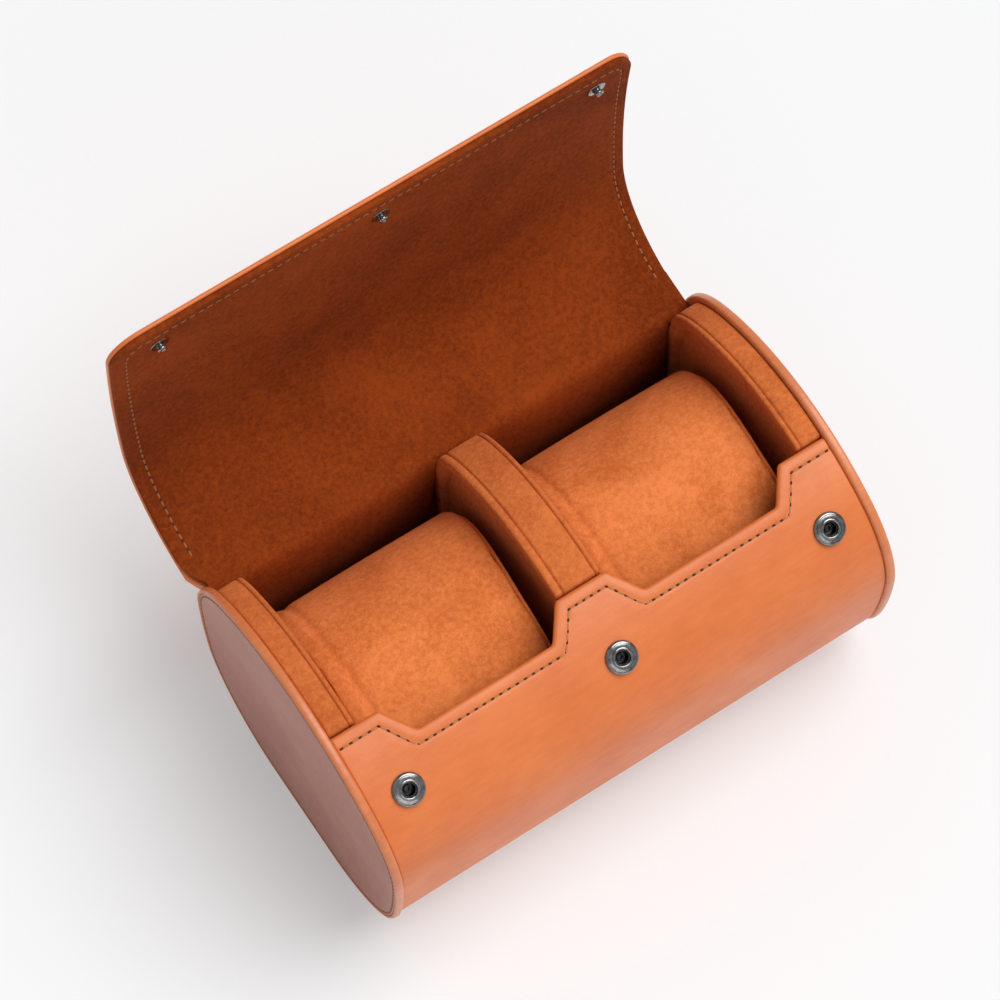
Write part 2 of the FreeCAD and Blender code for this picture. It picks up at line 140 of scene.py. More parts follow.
# Shell. Vegetable-tanned leather over board, one sheet round the front, the base and the back.
# Its front edge has three tabs, is turned over the board and is sewn down with one row of stitches.
case_length, case_width, case_height = 185.0, 114.4, 106.2
disc_thick, shell_set = 3.0, 1.2
shell_half = case_length / 2 - disc_thick
base_half_flat, base_corner = case_width * 0.14028, case_width * 0.34218
widest = case_height * 0.58373
shoulder = (case_height - widest) * 0.86471
shoulder_mid = (case_width / 2 - shoulder, widest)
crown_bend = case_height - widest - shoulder
crown_drop = (crown_bend**2 - shoulder_mid[0] ** 2) / (2 * crown_bend)
crown_mid = (0.0, widest + crown_drop)
crown = case_height - widest - crown_drop
crown_turn = math.atan2(-crown_drop, shoulder_mid[0])


def case_outline(inset, drop, step=0.25):
    """Half the section, from the middle of the base over the back to the top: run, y, z, normal."""
    corner = base_corner - inset
    low = (base_half_flat, base_corner - drop)
    half = case_width / 2 - inset
    bow = half - base_half_flat - corner
    rise = widest - low[1]
    bend = (rise * rise / bow + 2 * corner + bow) / 2
    turn = math.atan2(rise, bend - half + base_half_flat)
    points = [(y, inset - drop, 0.0, -1.0) for y in np.linspace(0, base_half_flat, 40)]
    arcs = [
        (low, corner, -math.pi / 2, -turn),
        ((half - bend, widest), bend, -turn, 0),
        (shoulder_mid, shoulder - inset, 0, crown_turn),
        (crown_mid, crown - inset, crown_turn, math.pi / 2),
    ]
    for middle, radius, first, last in arcs:
        for angle in np.linspace(first, last, max(8, int(radius * abs(last - first) / step)))[1:]:
            c, s = math.cos(angle), math.sin(angle)
            points.append((middle[0] + radius * c, middle[1] + radius * s, c, s))
    table = np.array(points)
    run = np.concatenate([[0], np.cumsum(np.hypot(*np.diff(table[:, :2], axis=0).T))])
    return run, table


shell_run, shell_table = case_outline(shell_set, shell_set)


def on_outline(run, table, s, h):
    """Point at run s along the section, positive to the front, raised by h along the normal."""
    y, z, ny, nz = (np.interp(np.abs(s), run, table[:, k]) for k in range(4))
    size = np.hypot(ny, nz)
    y, z = y + h * ny / size, z + h * nz / size
    return np.where(s > 0, -y, y), z


def on_shell(x, s, h):
    """Point of the flat sheet, laid on the shell at x and at run s and raised by h."""
    y, z = on_outline(shell_run, shell_table, s, h)
    return np.stack([x + 0 * y, y, z], axis=-1)


widest_row = int(np.argmax(shell_table[:, 0]))


def run_at(y):
    """Run along the top of the section at which it is this far from the middle."""
    return np.interp(-y, -shell_table[widest_row:, 0], shell_run[widest_row:])


tab_slope = [9.0, 16.6, 65.2, 72.6]
tab_ends = [-shell_half] + [-x for x in reversed(tab_slope)] + tab_slope + [shell_half]
tab_y, cut_y = case_width * 0.15369, case_width * 0.24447
tab_depths = [tab_y, tab_y, cut_y, cut_y, tab_y, tab_y, cut_y, cut_y, tab_y, tab_y]
tab_runs = [float(run_at(y)) for y in tab_depths]
edge_x = np.arange(-shell_half - 6, shell_half + 6.01, 0.1)
edge_s = np.interp(edge_x, tab_ends, tab_runs)
rounding = np.hanning(27)
edge_s = np.convolve(np.pad(edge_s, 13, mode="edge"), rounding / rounding.sum(), mode="valid")
edge_line = np.stack([edge_x, edge_s], axis=1)


def edge_gap(x, s):
    """Distance of points in the flat sheet from its shaped front edge."""
    flat = np.stack([x.ravel(), s.ravel()], axis=1)
    best = np.full(len(flat), 1e9)
    for start in range(0, len(flat), 4000):
        part = flat[start : start + 4000]
        low, high = part[:, 0].min() - 8, part[:, 0].max() + 8
        near = edge_line[(edge_line[:, 0] > low) & (edge_line[:, 0] < high)]
        step = part[:, None, :] - near[None, :, :]
        best[start : start + 4000] = np.sqrt((step**2).sum(-1).min(1))
    return best.reshape(x.shape)


def rolled(gap, radius):
    """How far a rounded edge of this radius lies below the face, by distance from the edge."""
    near = np.clip(radius - gap, 0, radius)
    return radius - np.sqrt(np.maximum(radius * radius - near * near, 0))


def bump(gap, place, width):
    """A soft swell, one high, at this distance from the edge."""
    return np.exp(-(((gap - place) / width) ** 2))


def grid_faces(rows, columns, first=0, wrap=False, flip=False):
    """Faces of a grid of points, closed round its columns with wrap."""
    a = np.arange(rows - 1)[:, None] * columns + np.arange(columns if wrap else columns - 1)[None, :]
    right = np.arange(columns - 1) + 1 if not wrap else (np.arange(columns) + 1) % columns
    b = np.arange(rows - 1)[:, None] * columns + right[None, :]
    quads = np.stack([a, b, b + columns, a + columns], axis=-1).reshape(-1, 4) + first
    return quads[:, ::-1] if flip else quads


def make_piece(name, points, faces, material):
    """A mesh object from points in millimetres."""
    mesh = bpy.data.meshes.new(name)
    mesh.from_pydata((np.asarray(points) * 0.001).tolist(), [], [list(map(int, f)) for f in faces])
    mesh.validate()
    mesh.update()
    mesh.materials.append(material)
    mesh.polygons.foreach_set("use_smooth", [True] * len(mesh.polygons))
    piece = bpy.data.objects.new(name, mesh)
    bpy.context.scene.collection.objects.link(piece)
    return piece


def closed_sheet(name, outer, inner, material):
    """A sheet with two faces, grids of the same size, joined round their edges."""
    rows, columns = outer.shape[:2]
    count = rows * columns
    points = np.concatenate([outer.reshape(-1, 3), inner.reshape(-1, 3)])
    faces = grid_faces(rows, columns).tolist() + grid_faces(rows, columns, count, flip=True).tolist()
    ring = list(range(columns))
    ring += [r * columns + columns - 1 for r in range(1, rows)]
    ring += [(rows - 1) * columns + k for k in range(columns - 2, -1, -1)]
    ring += [r * columns for r in range(rows - 2, 0, -1)]
    for a, b in zip(ring, ring[1:] + ring[:1]):
        faces.append((b, a, a + count, b + count))
    return make_piece(name, points, faces, material)


def tidy_mesh(piece, merge=0.00001):
    """Joins points that meet and turns all faces outwards."""
    work = bmesh.new()
    work.from_mesh(piece.data)
    bmesh.ops.remove_doubles(work, verts=work.verts, dist=merge)
    bmesh.ops.recalc_face_normals(work, faces=work.faces)
    work.to_mesh(piece.data)
    work.free()
    piece.data.update()


def group_of(name, inputs, outputs):
    """A shader node group with named inputs and outputs."""
    group = bpy.data.node_groups.new(name, "ShaderNodeTree")
    for label, kind, value in inputs:
        socket = group.interface.new_socket(name=label, in_out="INPUT", socket_type=kind)
        if value is not None:
            socket.default_value = value
    for label, kind in outputs:
        group.interface.new_socket(name=label, in_out="OUTPUT", socket_type=kind)
    given, made = (group.nodes.new(kind) for kind in ("NodeGroupInput", "NodeGroupOutput"))
    return group, group.nodes, group.links, given, made


def maths(tree_nodes, tree_links, operation, first, second):
    """The outcome of one sum, from sockets or plain numbers."""
    node = tree_nodes.new("ShaderNodeMath")
    node.operation = operation
    for socket, value in zip(node.inputs, (first, second)):
        if isinstance(value, (int, float)):
            socket.default_value = value
        else:
            tree_links.new(value, socket)
    return node.outputs[0]


grain_group, nodes, links, given, made = group_of(
    "leather_grain",
    [
        ("Vector", "NodeSocketVector", None),
        ("Pores", "NodeSocketFloat", 1500.0),
        ("Streaks", "NodeSocketFloat", 60.0),
    ],
    [("Height", "NodeSocketFloat"), ("Tone", "NodeSocketFloat")],
)
cells = nodes.new("ShaderNodeTexVoronoi")
cells.feature = "SMOOTH_F1"
cells.inputs["Smoothness"].default_value = 0.6
fine = nodes.new("ShaderNodeTexNoise")
fine.inputs["Detail"].default_value = 4
cloud = nodes.new("ShaderNodeTexNoise")
cloud.inputs["Scale"].default_value = 38
cloud.inputs["Detail"].default_value = 5
cloud.inputs["Roughness"].default_value = 0.6
stretch = nodes.new("ShaderNodeVectorMath")
stretch.operation = "MULTIPLY"
stretch.inputs[1].default_value = (0.25, 1, 1)
streak = nodes.new("ShaderNodeTexNoise")
streak.inputs["Detail"].default_value = 6
streak.inputs["Roughness"].default_value = 0.65
links.new(given.outputs["Vector"], cells.inputs["Vector"])
links.new(given.outputs["Pores"], cells.inputs["Scale"])
links.new(given.outputs["Vector"], fine.inputs["Vector"])
links.new(given.outputs["Pores"], fine.inputs["Scale"])
links.new(given.outputs["Vector"], cloud.inputs["Vector"])
links.new(given.outputs["Vector"], stretch.inputs[0])
links.new(stretch.outputs[0], streak.inputs["Vector"])
links.new(maths(nodes, links, "MULTIPLY", given.outputs["Streaks"], 8.0), streak.inputs["Scale"])
height = maths(nodes, links, "ADD", cells.outputs["Distance"], fine.outputs["Fac"])
height = maths(nodes, links, "ADD", height, maths(nodes, links, "MULTIPLY", streak.outputs["Fac"], 1.4))
links.new(maths(nodes, links, "MULTIPLY", height, 0.3), made.inputs["Height"])
tone = maths(nodes, links, "MULTIPLY", cloud.outputs["Fac"], 0.6)
tone = maths(nodes, links, "ADD", tone, maths(nodes, links, "MULTIPLY", streak.outputs["Fac"], 0.4))
links.new(tone, made.inputs["Tone"])


def between(tree_nodes, tree_links, mask, dark, light, low=0.0, high=1.0):
    """A colour that goes from dark to light as the mask goes from low to high."""
    ramp = tree_nodes.new("ShaderNodeValToRGB")
    for element, position, colour in zip(ramp.color_ramp.elements, (low, high), (dark, light)):
        element.position = position
        element.color = (*colour, 1)
    tree_links.new(mask, ramp.inputs["Fac"])
    return ramp.outputs["Color"]


def leather(name, dark, light, roughness=0.46, coat=0.05, relief=0.00012, pores=1500.0):
    """Smooth tanned leather, its tone drifting between two colours under a fine grain."""
    material, nodes, links = new_material(name)
    place = nodes.new("ShaderNodeTexCoord")
    grain = nodes.new("ShaderNodeGroup")
    grain.node_tree = grain_group
    grain.inputs["Pores"].default_value = pores
    links.new(place.outputs["Object"], grain.inputs["Vector"])
    colour = between(nodes, links, grain.outputs["Tone"], dark, light, 0.36, 0.64)
    gloss = nodes.new("ShaderNodeMapRange")
    gloss.inputs["From Min"].default_value = 0.3
    gloss.inputs["From Max"].default_value = 0.7
    gloss.inputs["To Min"].default_value = roughness + 0.05
    gloss.inputs["To Max"].default_value = roughness - 0.04
    links.new(grain.outputs["Tone"], gloss.inputs["Value"])
    relief_node = nodes.new("ShaderNodeBump")
    relief_node.inputs["Distance"].default_value = relief
    relief_node.inputs["Strength"].default_value = 0.55
    links.new(grain.outputs["Height"], relief_node.inputs["Height"])
    skin = nodes.new("ShaderNodeBsdfPrincipled")
    skin.inputs["Coat Weight"].default_value = coat
    skin.inputs["Coat Roughness"].default_value = 0.35
    links.new(colour, skin.inputs["Base Color"])
    links.new(gloss.outputs["Result"], skin.inputs["Roughness"])
    links.new(relief_node.outputs["Normal"], skin.inputs["Normal"])
    links.new(skin.outputs[0], nodes.new("ShaderNodeOutputMaterial").inputs["Surface"])
    return material


tan_leather = leather("tan_leather", (0.64, 0.145, 0.028), (0.74, 0.19, 0.042))

leather_thick, fold_radius, fold_lap, end_radius = 1.5, 1.25, 3.4, 0.7
stitch_line, groove_deep, groove_wide = 4.2, 0.22, 0.5
back_top = 73.0
back_run = -float(np.interp(back_top, shell_table[widest_row:, 1], shell_run[widest_row:]))
columns = set(np.round(np.arange(-shell_half, shell_half + 0.01, 1.4), 3)) | {-shell_half, shell_half}
for bend_x in tab_ends[1:-1]:
    columns |= set(np.round(np.arange(bend_x - 3, bend_x + 3.01, 0.4), 3))
for side in (-1, 1):
    columns |= set(np.round(side * (shell_half - np.array([0, 0.08, 0.25, 0.5, 0.8, 1.2])), 3))
columns = np.array(sorted(c for c in columns if abs(c) <= shell_half))
offsets = [0, 0.04, 0.13, 0.28, 0.5, 0.78, 1.1, 1.5, 2.0, 2.6, 3.1, 3.5, 3.8, 4.1, 4.35, 4.7, 5.1, 5.7]
offsets = np.array(offsets + [6.6, 8, 10, 12, 14])[:, None]
top_run = np.interp(columns, edge_x, edge_s)[None, :]
near_rows = top_run - offsets
share = np.linspace(0, 1, 90)[1:, None]
far_rows = (top_run - offsets[-1]) * (1 - share) + back_run * share
rows_s = np.concatenate([near_rows, far_rows])
rows_x = np.broadcast_to(columns[None, :], rows_s.shape)
gap = edge_gap(rows_x, rows_s)
end_gap = shell_half - np.abs(rows_x)
outer_h = -rolled(gap, fold_radius) - rolled(end_gap, end_radius)
outer_h = outer_h - groove_deep * bump(gap, stitch_line, groove_wide) + 0.12 * bump(gap, 2.4, 1.1)
inner_h = np.where(gap < fold_lap, -2 * fold_radius + rolled(gap, fold_radius), -leather_thick)
outer, inner = on_shell(rows_x, rows_s, outer_h), on_shell(rows_x, rows_s, inner_h)
shell_piece = closed_sheet("front_and_back_leather", outer, inner, tan_leather)
tidy_mesh(shell_piece)
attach(shell_piece, "case")
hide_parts("shell_leather")

# Stitching on the shell. Waxed beige thread in punched holes, one row along the shaped front edge
# that holds the turned leather down on the board.
thread_pitch, thread_share, thread_half, thread_high = 3.0, 0.74, 0.36, 0.27
hole_half, hole_wide, hole_high = 0.8, 0.52, 0.13


def waxed(name, dark, light):
    """Twisted thread, its tone changing from strand to strand."""
    material, nodes, links = new_material(name)
    twist = nodes.new("ShaderNodeTexNoise")
    twist.inputs["Scale"].default_value = 900
    colour = between(nodes, links, twist.outputs["Fac"], dark, light)
    skin = nodes.new("ShaderNodeBsdfPrincipled")
    skin.inputs["Roughness"].default_value = 0.6
    skin.inputs["Specular IOR Level"].default_value = 0.2
    links.new(colour, skin.inputs["Base Color"])
    links.new(skin.outputs[0], nodes.new("ShaderNodeOutputMaterial").inputs["Surface"])
    return material


tan_thread = waxed("tan_thread", (0.30, 0.105, 0.032), (0.58, 0.26, 0.10))
# The stitch holes are not cut. Each one is a small dark bead on the surface, and its colour is painted shade
# standing in for the hollow of a punched hole.
hole_shade_material, nodes, links = new_material("hole_painted_shade")
twist = nodes.new("ShaderNodeTexNoise")
twist.inputs["Scale"].default_value = 500
colour = between(nodes, links, twist.outputs["Fac"], (0.035, 0.008, 0.003), (0.085, 0.022, 0.008))
skin = nodes.new("ShaderNodeBsdfPrincipled")
skin.inputs["Roughness"].default_value = 0.9
links.new(colour, skin.inputs["Base Color"])
links.new(skin.outputs[0], nodes.new("ShaderNodeOutputMaterial").inputs["Surface"])


def tube_faces(rings, around):
    """Faces of a row of closed rings, and of a fan to a middle point at each end."""
    faces = grid_faces(rings, around, wrap=True).tolist()
    first, last, top = rings * around, rings * around + 1, (rings - 1) * around
    for k in range(around):
        n = (k + 1) % around
        faces += [(first, n, k), (last, top + k, top + n)]
    return faces


def capsules(middle, along, across, up, rows=7, around=8):
    """Points and faces of small closed beads, from their middles and three half axes each."""
    count = len(middle)
    t = np.linspace(-1, 1, rows + 2)[1:-1]
    wide = np.sqrt(np.maximum(1 - t**4, 0))
    angle = np.linspace(0, 2 * math.pi, around, endpoint=False)
    ring = (
        t[None, :, None, None] * along[:, None, None, :]
        + wide[None, :, None, None] * np.cos(angle)[None, None, :, None] * across[:, None, None, :]
        + wide[None, :, None, None] * np.sin(angle)[None, None, :, None] * up[:, None, None, :]
    )
    points = (middle[:, None, None, :] + ring).reshape(count, -1, 3)
    ends = np.stack([middle - along, middle + along], axis=1)
    points = np.concatenate([points, ends], axis=1)
    one = tube_faces(rows, around)
    faces = []
    for k in range(count):
        base = k * (rows * around + 2)
        faces += [[base + v for v in face] for face in one]
    return points.reshape(-1, 3), faces


def spaced(path, corners=None, closed=False):
    """Run along a path, and even places for its stitches with one at each of its corners."""
    run = np.concatenate([[0], np.cumsum(np.linalg.norm(np.diff(path, axis=0), axis=1))])
    stops = [0] + list(corners or []) + [len(path) - 1]
    places = []
    for a, b in zip(stops, stops[1:]):
        count = max(1, round((run[b] - run[a]) / thread_pitch))
        places += list(np.linspace(run[a], run[b], count + 1)[:-1])
    if not closed:
        places.append(run[-1])
    return run, np.array(places)


def stitch_row(name, path, normals, body, corners=None, closed=False, thread=tan_thread):
    """A sewn row, its holes on the path and a thread from each hole to the next."""
    run, places = spaced(path, corners, closed=closed)
    at = np.stack([np.interp(places, run, path[:, k]) for k in range(3)], axis=1)
    up = np.stack([np.interp(places, run, normals[:, k]) for k in range(3)], axis=1)
    after = np.roll(at, -1, axis=0) if closed else at[1:]
    before = at if closed else at[:-1]
    lift = up if closed else up[:-1]
    lift = lift / np.linalg.norm(lift, axis=1)[:, None]
    along = (after - before) / 2
    reach = np.linalg.norm(along, axis=1)[:, None]
    across = np.cross(lift, along / reach)
    middle = (after + before) / 2 + lift * 0.02
    points, faces = capsules(middle, along * thread_share, across * thread_half, lift * thread_high)
    row = make_piece(name, points, faces, thread)
    turn = along / reach
    if not closed:
        turn = np.concatenate([turn, turn[-1:]])
    up = up / np.linalg.norm(up, axis=1)[:, None]
    side = np.cross(up, turn)
    # Each hole is a dark bead of painted shade, not a hollow.
    points, faces = capsules(at - up * 0.01, turn * hole_half, side * hole_wide, up * hole_high, rows=5)
    holes = make_piece(name + "_holes", points, faces, hole_shade_material)
    for piece in (row, holes):
        if body:
            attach(piece, body)
    return row, holes


def offset_corners(corners, depth):
    """Corner points of an open line moved sideways by this depth, mitred."""
    corners = np.array(corners, float)
    step = np.diff(corners, axis=0)
    step /= np.linalg.norm(step, axis=1)[:, None]
    side = np.stack([step[:, 1], -step[:, 0]], axis=1)
    out = [corners[0] + side[0] * depth]
    for k in range(1, len(corners) - 1):
        mid = side[k - 1] + side[k]
        mid /= np.linalg.norm(mid)
        out.append(corners[k] + mid * depth / (mid @ side[k]))
    out.append(corners[-1] + side[-1] * depth)
    return np.array(out)


front_corners = list(zip(tab_ends, tab_runs))
sewn = offset_corners(front_corners, stitch_line)
row_end = 1.6
sewn[0, 0], sewn[-1, 0] = -shell_half + row_end, shell_half - row_end
flat_path, marks = [sewn[0]], []
for a, b in zip(sewn, sewn[1:]):
    count = max(2, int(np.linalg.norm(b - a) / 0.5))
    flat_path += [a + (b - a) * k / count for k in range(1, count + 1)]
    marks.append(len(flat_path) - 1)
flat_path = np.array(flat_path)
path = on_shell(*flat_path.T, -0.2)
normals = on_shell(*flat_path.T, 1.0) - on_shell(*flat_path.T, 0.0)
stitch_row("front_edge_stitching", path, normals, "case", marks[:-1])

# Shell lining. Brushed suede, cut to the shape of the shell and glued inside its board. The edge
# ends a little below the turned leather.
nap_group, nodes, links, given, made = group_of(
    "suede_nap",
    [("Vector", "NodeSocketVector", None), ("Patches", "NodeSocketFloat", 26.0)],
    [("Height", "NodeSocketFloat"), ("Tone", "NodeSocketFloat")],
)
patches = nodes.new("ShaderNodeTexNoise")
patches.inputs["Detail"].default_value = 6
patches.inputs["Roughness"].default_value = 0.62
patches.inputs["Distortion"].default_value = 0.6
specks = nodes.new("ShaderNodeTexNoise")
specks.inputs["Scale"].default_value = 620
specks.inputs["Detail"].default_value = 3
specks.inputs["Roughness"].default_value = 0.7
fibres = nodes.new("ShaderNodeTexNoise")
fibres.inputs["Scale"].default_value = 2600
fibres.inputs["Detail"].default_value = 2
for texture in (patches, specks, fibres):
    links.new(given.outputs["Vector"], texture.inputs["Vector"])
links.new(given.outputs["Patches"], patches.inputs["Scale"])
height = maths(nodes, links, "MULTIPLY", specks.outputs["Fac"], 0.6)
height = maths(nodes, links, "ADD", height, fibres.outputs["Fac"])
links.new(maths(nodes, links, "MULTIPLY", height, 0.6), made.inputs["Height"])
tone = maths(nodes, links, "MULTIPLY", patches.outputs["Fac"], 0.46)
tone = maths(nodes, links, "ADD", tone, maths(nodes, links, "MULTIPLY", specks.outputs["Fac"], 0.38))
tone = maths(nodes, links, "ADD", tone, maths(nodes, links, "MULTIPLY", fibres.outputs["Fac"], 0.16))
links.new(tone, made.inputs["Tone"])


def suede(name, dark, light, sheen=0.35, patches=26.0, relief=0.0004):
    """Brushed suede, its nap lying lighter or darker in patches."""
    material, nodes, links = new_material(name)
    place = nodes.new("ShaderNodeTexCoord")
    nap = nodes.new("ShaderNodeGroup")
    nap.node_tree = nap_group
    nap.inputs["Patches"].default_value = patches
    links.new(place.outputs["Object"], nap.inputs["Vector"])
    colour = between(nodes, links, nap.outputs["Tone"], dark, light, 0.40, 0.60)
    relief_node = nodes.new("ShaderNodeBump")
    relief_node.inputs["Distance"].default_value = relief
    relief_node.inputs["Strength"].default_value = 0.7
    links.new(nap.outputs["Height"], relief_node.inputs["Height"])
    skin = nodes.new("ShaderNodeBsdfPrincipled")
    skin.inputs["Roughness"].default_value = 0.95
    skin.inputs["Specular IOR Level"].default_value = 0.15
    skin.inputs["Sheen Weight"].default_value = sheen
    skin.inputs["Sheen Roughness"].default_value = 0.45
    skin.inputs["Sheen Tint"].default_value = (0.9, 0.42, 0.2, 1)
    links.new(colour, skin.inputs["Base Color"])
    links.new(relief_node.outputs["Normal"], skin.inputs["Normal"])
    links.new(skin.outputs[0], nodes.new("ShaderNodeOutputMaterial").inputs["Surface"])
    return material


lining_suede = suede("lining_suede", (0.24, 0.042, 0.006), (0.40, 0.08, 0.014), sheen=0.05)

lining_top, lining_thick, lining_radius, lining_setback = -2.65, 0.55, 0.24, 1.3
lining_back_run = -float(np.interp(back_top - 0.8, shell_table[widest_row:, 1], shell_run[widest_row:]))
lining_half = shell_half - 0.3
lining_x = np.unique(np.round(np.clip(columns, -lining_half, lining_half), 3))
lining_edge = np.interp(lining_x, edge_x, edge_s)[None, :]
lining_offsets = np.array([1.3, 1.36, 1.5, 1.75, 2.2, 3, 4.5, 7, 10, 14])[:, None]
near_rows = lining_edge - lining_offsets
far_rows = (lining_edge - lining_offsets[-1]) * (1 - share) + lining_back_run * share
rows_s = np.concatenate([near_rows, far_rows])
rows_x = np.broadcast_to(lining_x[None, :], rows_s.shape)
gap = edge_gap(rows_x, rows_s) - lining_setback
outer = on_shell(rows_x, rows_s, lining_top - rolled(gap, lining_radius))
inner = on_shell(rows_x, rows_s, lining_top - lining_thick + rolled(gap, lining_radius))
piece = closed_sheet("shell_suede", outer, inner, lining_suede)
tidy_mesh(piece)
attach(piece, "case")
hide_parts("shell_lining")

# End discs. A round-cornered board faced with leather, its edge bound by a separate strip of leather
# that stands proud of the shell, and a row of stitches round the face.
disc_run, disc_table = case_outline(0, 0)
loop_half = float(disc_run[-1])


def swept_loop(name, runs, profile, place, first_middle, last_middle, material):
    """A closed body, its profile carried round the section from one middle point to the other."""
    rings = [place(np.full_like(runs, x), runs, -depth) for x, depth in profile]
    points = np.concatenate(rings + [np.array([first_middle, last_middle])])
    piece = make_piece(name, points, tube_faces(len(rings), len(runs)), material)
    tidy_mesh(piece)
    return piece


def on_disc(x, s, h):
    """Point of a disc's rim at x and at run s, raised by h."""
    y, z = on_outline(disc_run, disc_table, s, h)
    return np.stack([x + 0 * y, y, z], axis=-1)


loop_runs = np.concatenate([np.linspace(-loop_half, 0, 220)[:-1], np.linspace(0, loop_half, 220)[:-1]])
# The disc faces are coloured darker and greyer than the tan leather of the shell. This is painted shade and
# painted reflection of the pale floor on leather that is the same tan.
disc_leather_shade_and_reflection = leather("disc_leather_shade_and_reflection", (0.38, 0.112, 0.062), (0.475, 0.152, 0.085), roughness=0.36, coat=0.2)
rim_leather = leather("rim_leather", (0.56, 0.15, 0.045), (0.72, 0.22, 0.075), roughness=0.36, coat=0.2)
under_rim, disc_middle, face_stitch, stitch_depth = -0.05, 50, 2.79, 2.35
rim_profile = [(under_rim, 30), (under_rim, 4), (under_rim, 1.0), (0.08, 0.55), (0.4, 0.2), (0.75, 0.05)]
rim_profile += [(1.2, 0), (1.8, 0), (2.3, 0.06), (2.68, 0.2), (2.9, 0.42), (3.0, 0.68), (2.98, 0.92)]
rim_profile += [(2.88, 1.12), (2.65, 1.26), (2.3, 1.3), (2.3, 30)]
face_profile = [(2.35, 30), (2.3, 4), (2.25, 1.35), (2.5, 1.37), (2.72, 1.45), (2.83, 1.62), (2.86, 1.85)]
face_profile += [(2.83, 2.1), (2.78, 2.35), (2.83, 2.65), (2.89, 2.95), (2.94, 3.5), (2.96, 5), (2.97, 7)]
face_profile += [(3.0, 11), (3.0, 17), (3.0, 24), (3.0, 32)]


def round_disc(name, side, profile, material):
    """A ring or a disc on one end, from (distance beyond the shell, depth under the rim) pairs."""
    profile = [(side * (shell_half + x), depth) for x, depth in profile]
    first, last = ((x, 0, disc_middle) for x in (profile[0][0], profile[-1][0]))
    return swept_loop(name, loop_runs, profile, on_disc, first, last, material)


for side, label in ((-1, "left"), (1, "right")):
    rim = round_disc(label + "_rim_binding", side, rim_profile, rim_leather)
    face = round_disc(label + "_disc_face", side, face_profile, disc_leather_shade_and_reflection)
    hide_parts(label + "_end_rim_strip")
    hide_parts(label + "_end_leather")
    for piece in (rim, face):
        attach(piece, "case")
    path_runs = np.linspace(-loop_half, loop_half, 900)
    path = on_disc(np.full_like(path_runs, side * (shell_half + face_stitch)), path_runs, -stitch_depth)
    normals = np.zeros_like(path)
    normals[:, 0] = side
    stitch_row(label + "_disc_stitching", path, normals, "case", closed=True)

# Dividers. Boards padded with thin foam and wrapped in suede, a band sewn round each edge and a
# recessed panel on each open side. They stand between the walls and rise as domes in the mouth.
divider_suede = suede("divider_suede", (0.46, 0.10, 0.021), (0.70, 0.185, 0.048), sheen=0.1, patches=34)
dome_depth, wall_depth, front_reach, rear_reach = 0.4, 3.45, 1.5, 12.2
front_run = float(run_at(tab_y)) + 0.3
rear_run = float(np.interp(back_top + 0.3, shell_table[widest_row:, 1], shell_run[widest_row:]))
near = np.array([-3, -1.2, -0.3, 0, 0.02, 0.1, 0.25, 0.5, 0.85, 1.2, 1.5, 2.2, 3.2])
rear_near = np.array([-3, -1, 0, 1, 2.2, 3.4, 4.6, 5.8, 7, 8.2, 9.4, 10.6, 11.6, 12.2, 12.8, 14])
top = float(shell_run[-1])
front_top, rear_top = np.linspace(front_run + 4.5, top, 16), np.linspace(rear_run + 15.2, top, 34)
front_half = np.concatenate([np.linspace(0, front_run - 4, 60), front_run + near, front_top])
rear_half = np.concatenate([np.linspace(0, rear_run - 4, 50), rear_run + rear_near, rear_top])
divider_runs = np.concatenate([-rear_half[::-1], front_half[1:-1]])


def on_divider(x, s, h):
    """Point of a divider's edge, low between the walls and level with the section in the mouth."""
    front = np.sqrt(np.maximum(1 - (1 - np.clip((s - front_run) / front_reach, 0, 1)) ** 2, 0))
    rear = np.clip((-s - rear_run) / rear_reach, 0, 1) ** 1.1
    rise = np.where(s > 0, front, rear)
    return on_shell(x, s, h - wall_depth + (wall_depth - dome_depth) * rise)


def joined(name, pieces):
    """One object made of several."""
    work = bmesh.new()
    for piece in pieces:
        work.from_mesh(piece.data)
    mesh = bpy.data.meshes.new(name)
    work.to_mesh(mesh)
    work.free()
    mesh.materials.append(pieces[0].data.materials[0])
    mesh.polygons.foreach_set("use_smooth", [True] * len(mesh.polygons))
    whole = bpy.data.objects.new(name, mesh)
    bpy.context.scene.collection.objects.link(whole)
    for piece in pieces:
        bpy.data.objects.remove(piece)
    return whole


def band_side(edge, inward, seam):
    """Half the profile of a band, from deep in its side face over a welt to just past its seam."""
    points = [(2.9, 26), (2.9, 8), (2.75, 6.6), (2.2, 5.6), (1.4, 5.05), (0.7, 4.7), (0.22, 4.2)]
    points += [(0.03, 3.4), (0, 2.4), (0.01, 1.5)]
    for angle in np.radians([0, 18, 36, 54, 72, 90, 108, 126, 144, 160]):
        points.append((seam / 2 * (1 - math.cos(angle)), 0.85 * (1 - math.sin(angle)) - 0.02))
    points += [(seam + 0.06, 0.86), (seam + 0.22, 0.4), (seam + 0.5, 0.06), (seam + 1.0, -0.06)]
    return [(edge + inward * x, depth) for x, depth in points]


def flush_side(edge, inward):
    """Half the profile of a band whose side lies against an end disc."""
    points = [(0.15, 26), (0.15, 4), (0.15, 0.9), (0.3, 0.4), (0.7, 0.08), (1.2, 0.0)]
    return [(edge + inward * x, depth) for x, depth in points]


def panel(edge, inward):
    """The profile of a padded panel let into the side of a divider."""
    points = [(2.85, 26), (2.85, 7), (2.6, 5.9), (2.3, 5.7), (2.05, 5.85), (1.9, 6.4), (1.82, 8)]
    points += [(1.75, 12), (1.7, 20), (1.7, 30)]
    return [(edge + inward * x, depth) for x, depth in points]


def wrapped(name, profile):
    """A closed body in suede, its profile carried round a divider."""
    first, last = (profile[0][0], 0, divider_middle), (profile[-1][0], 0, divider_middle)
    return swept_loop(name, divider_runs, profile, on_divider, first, last, divider_suede)


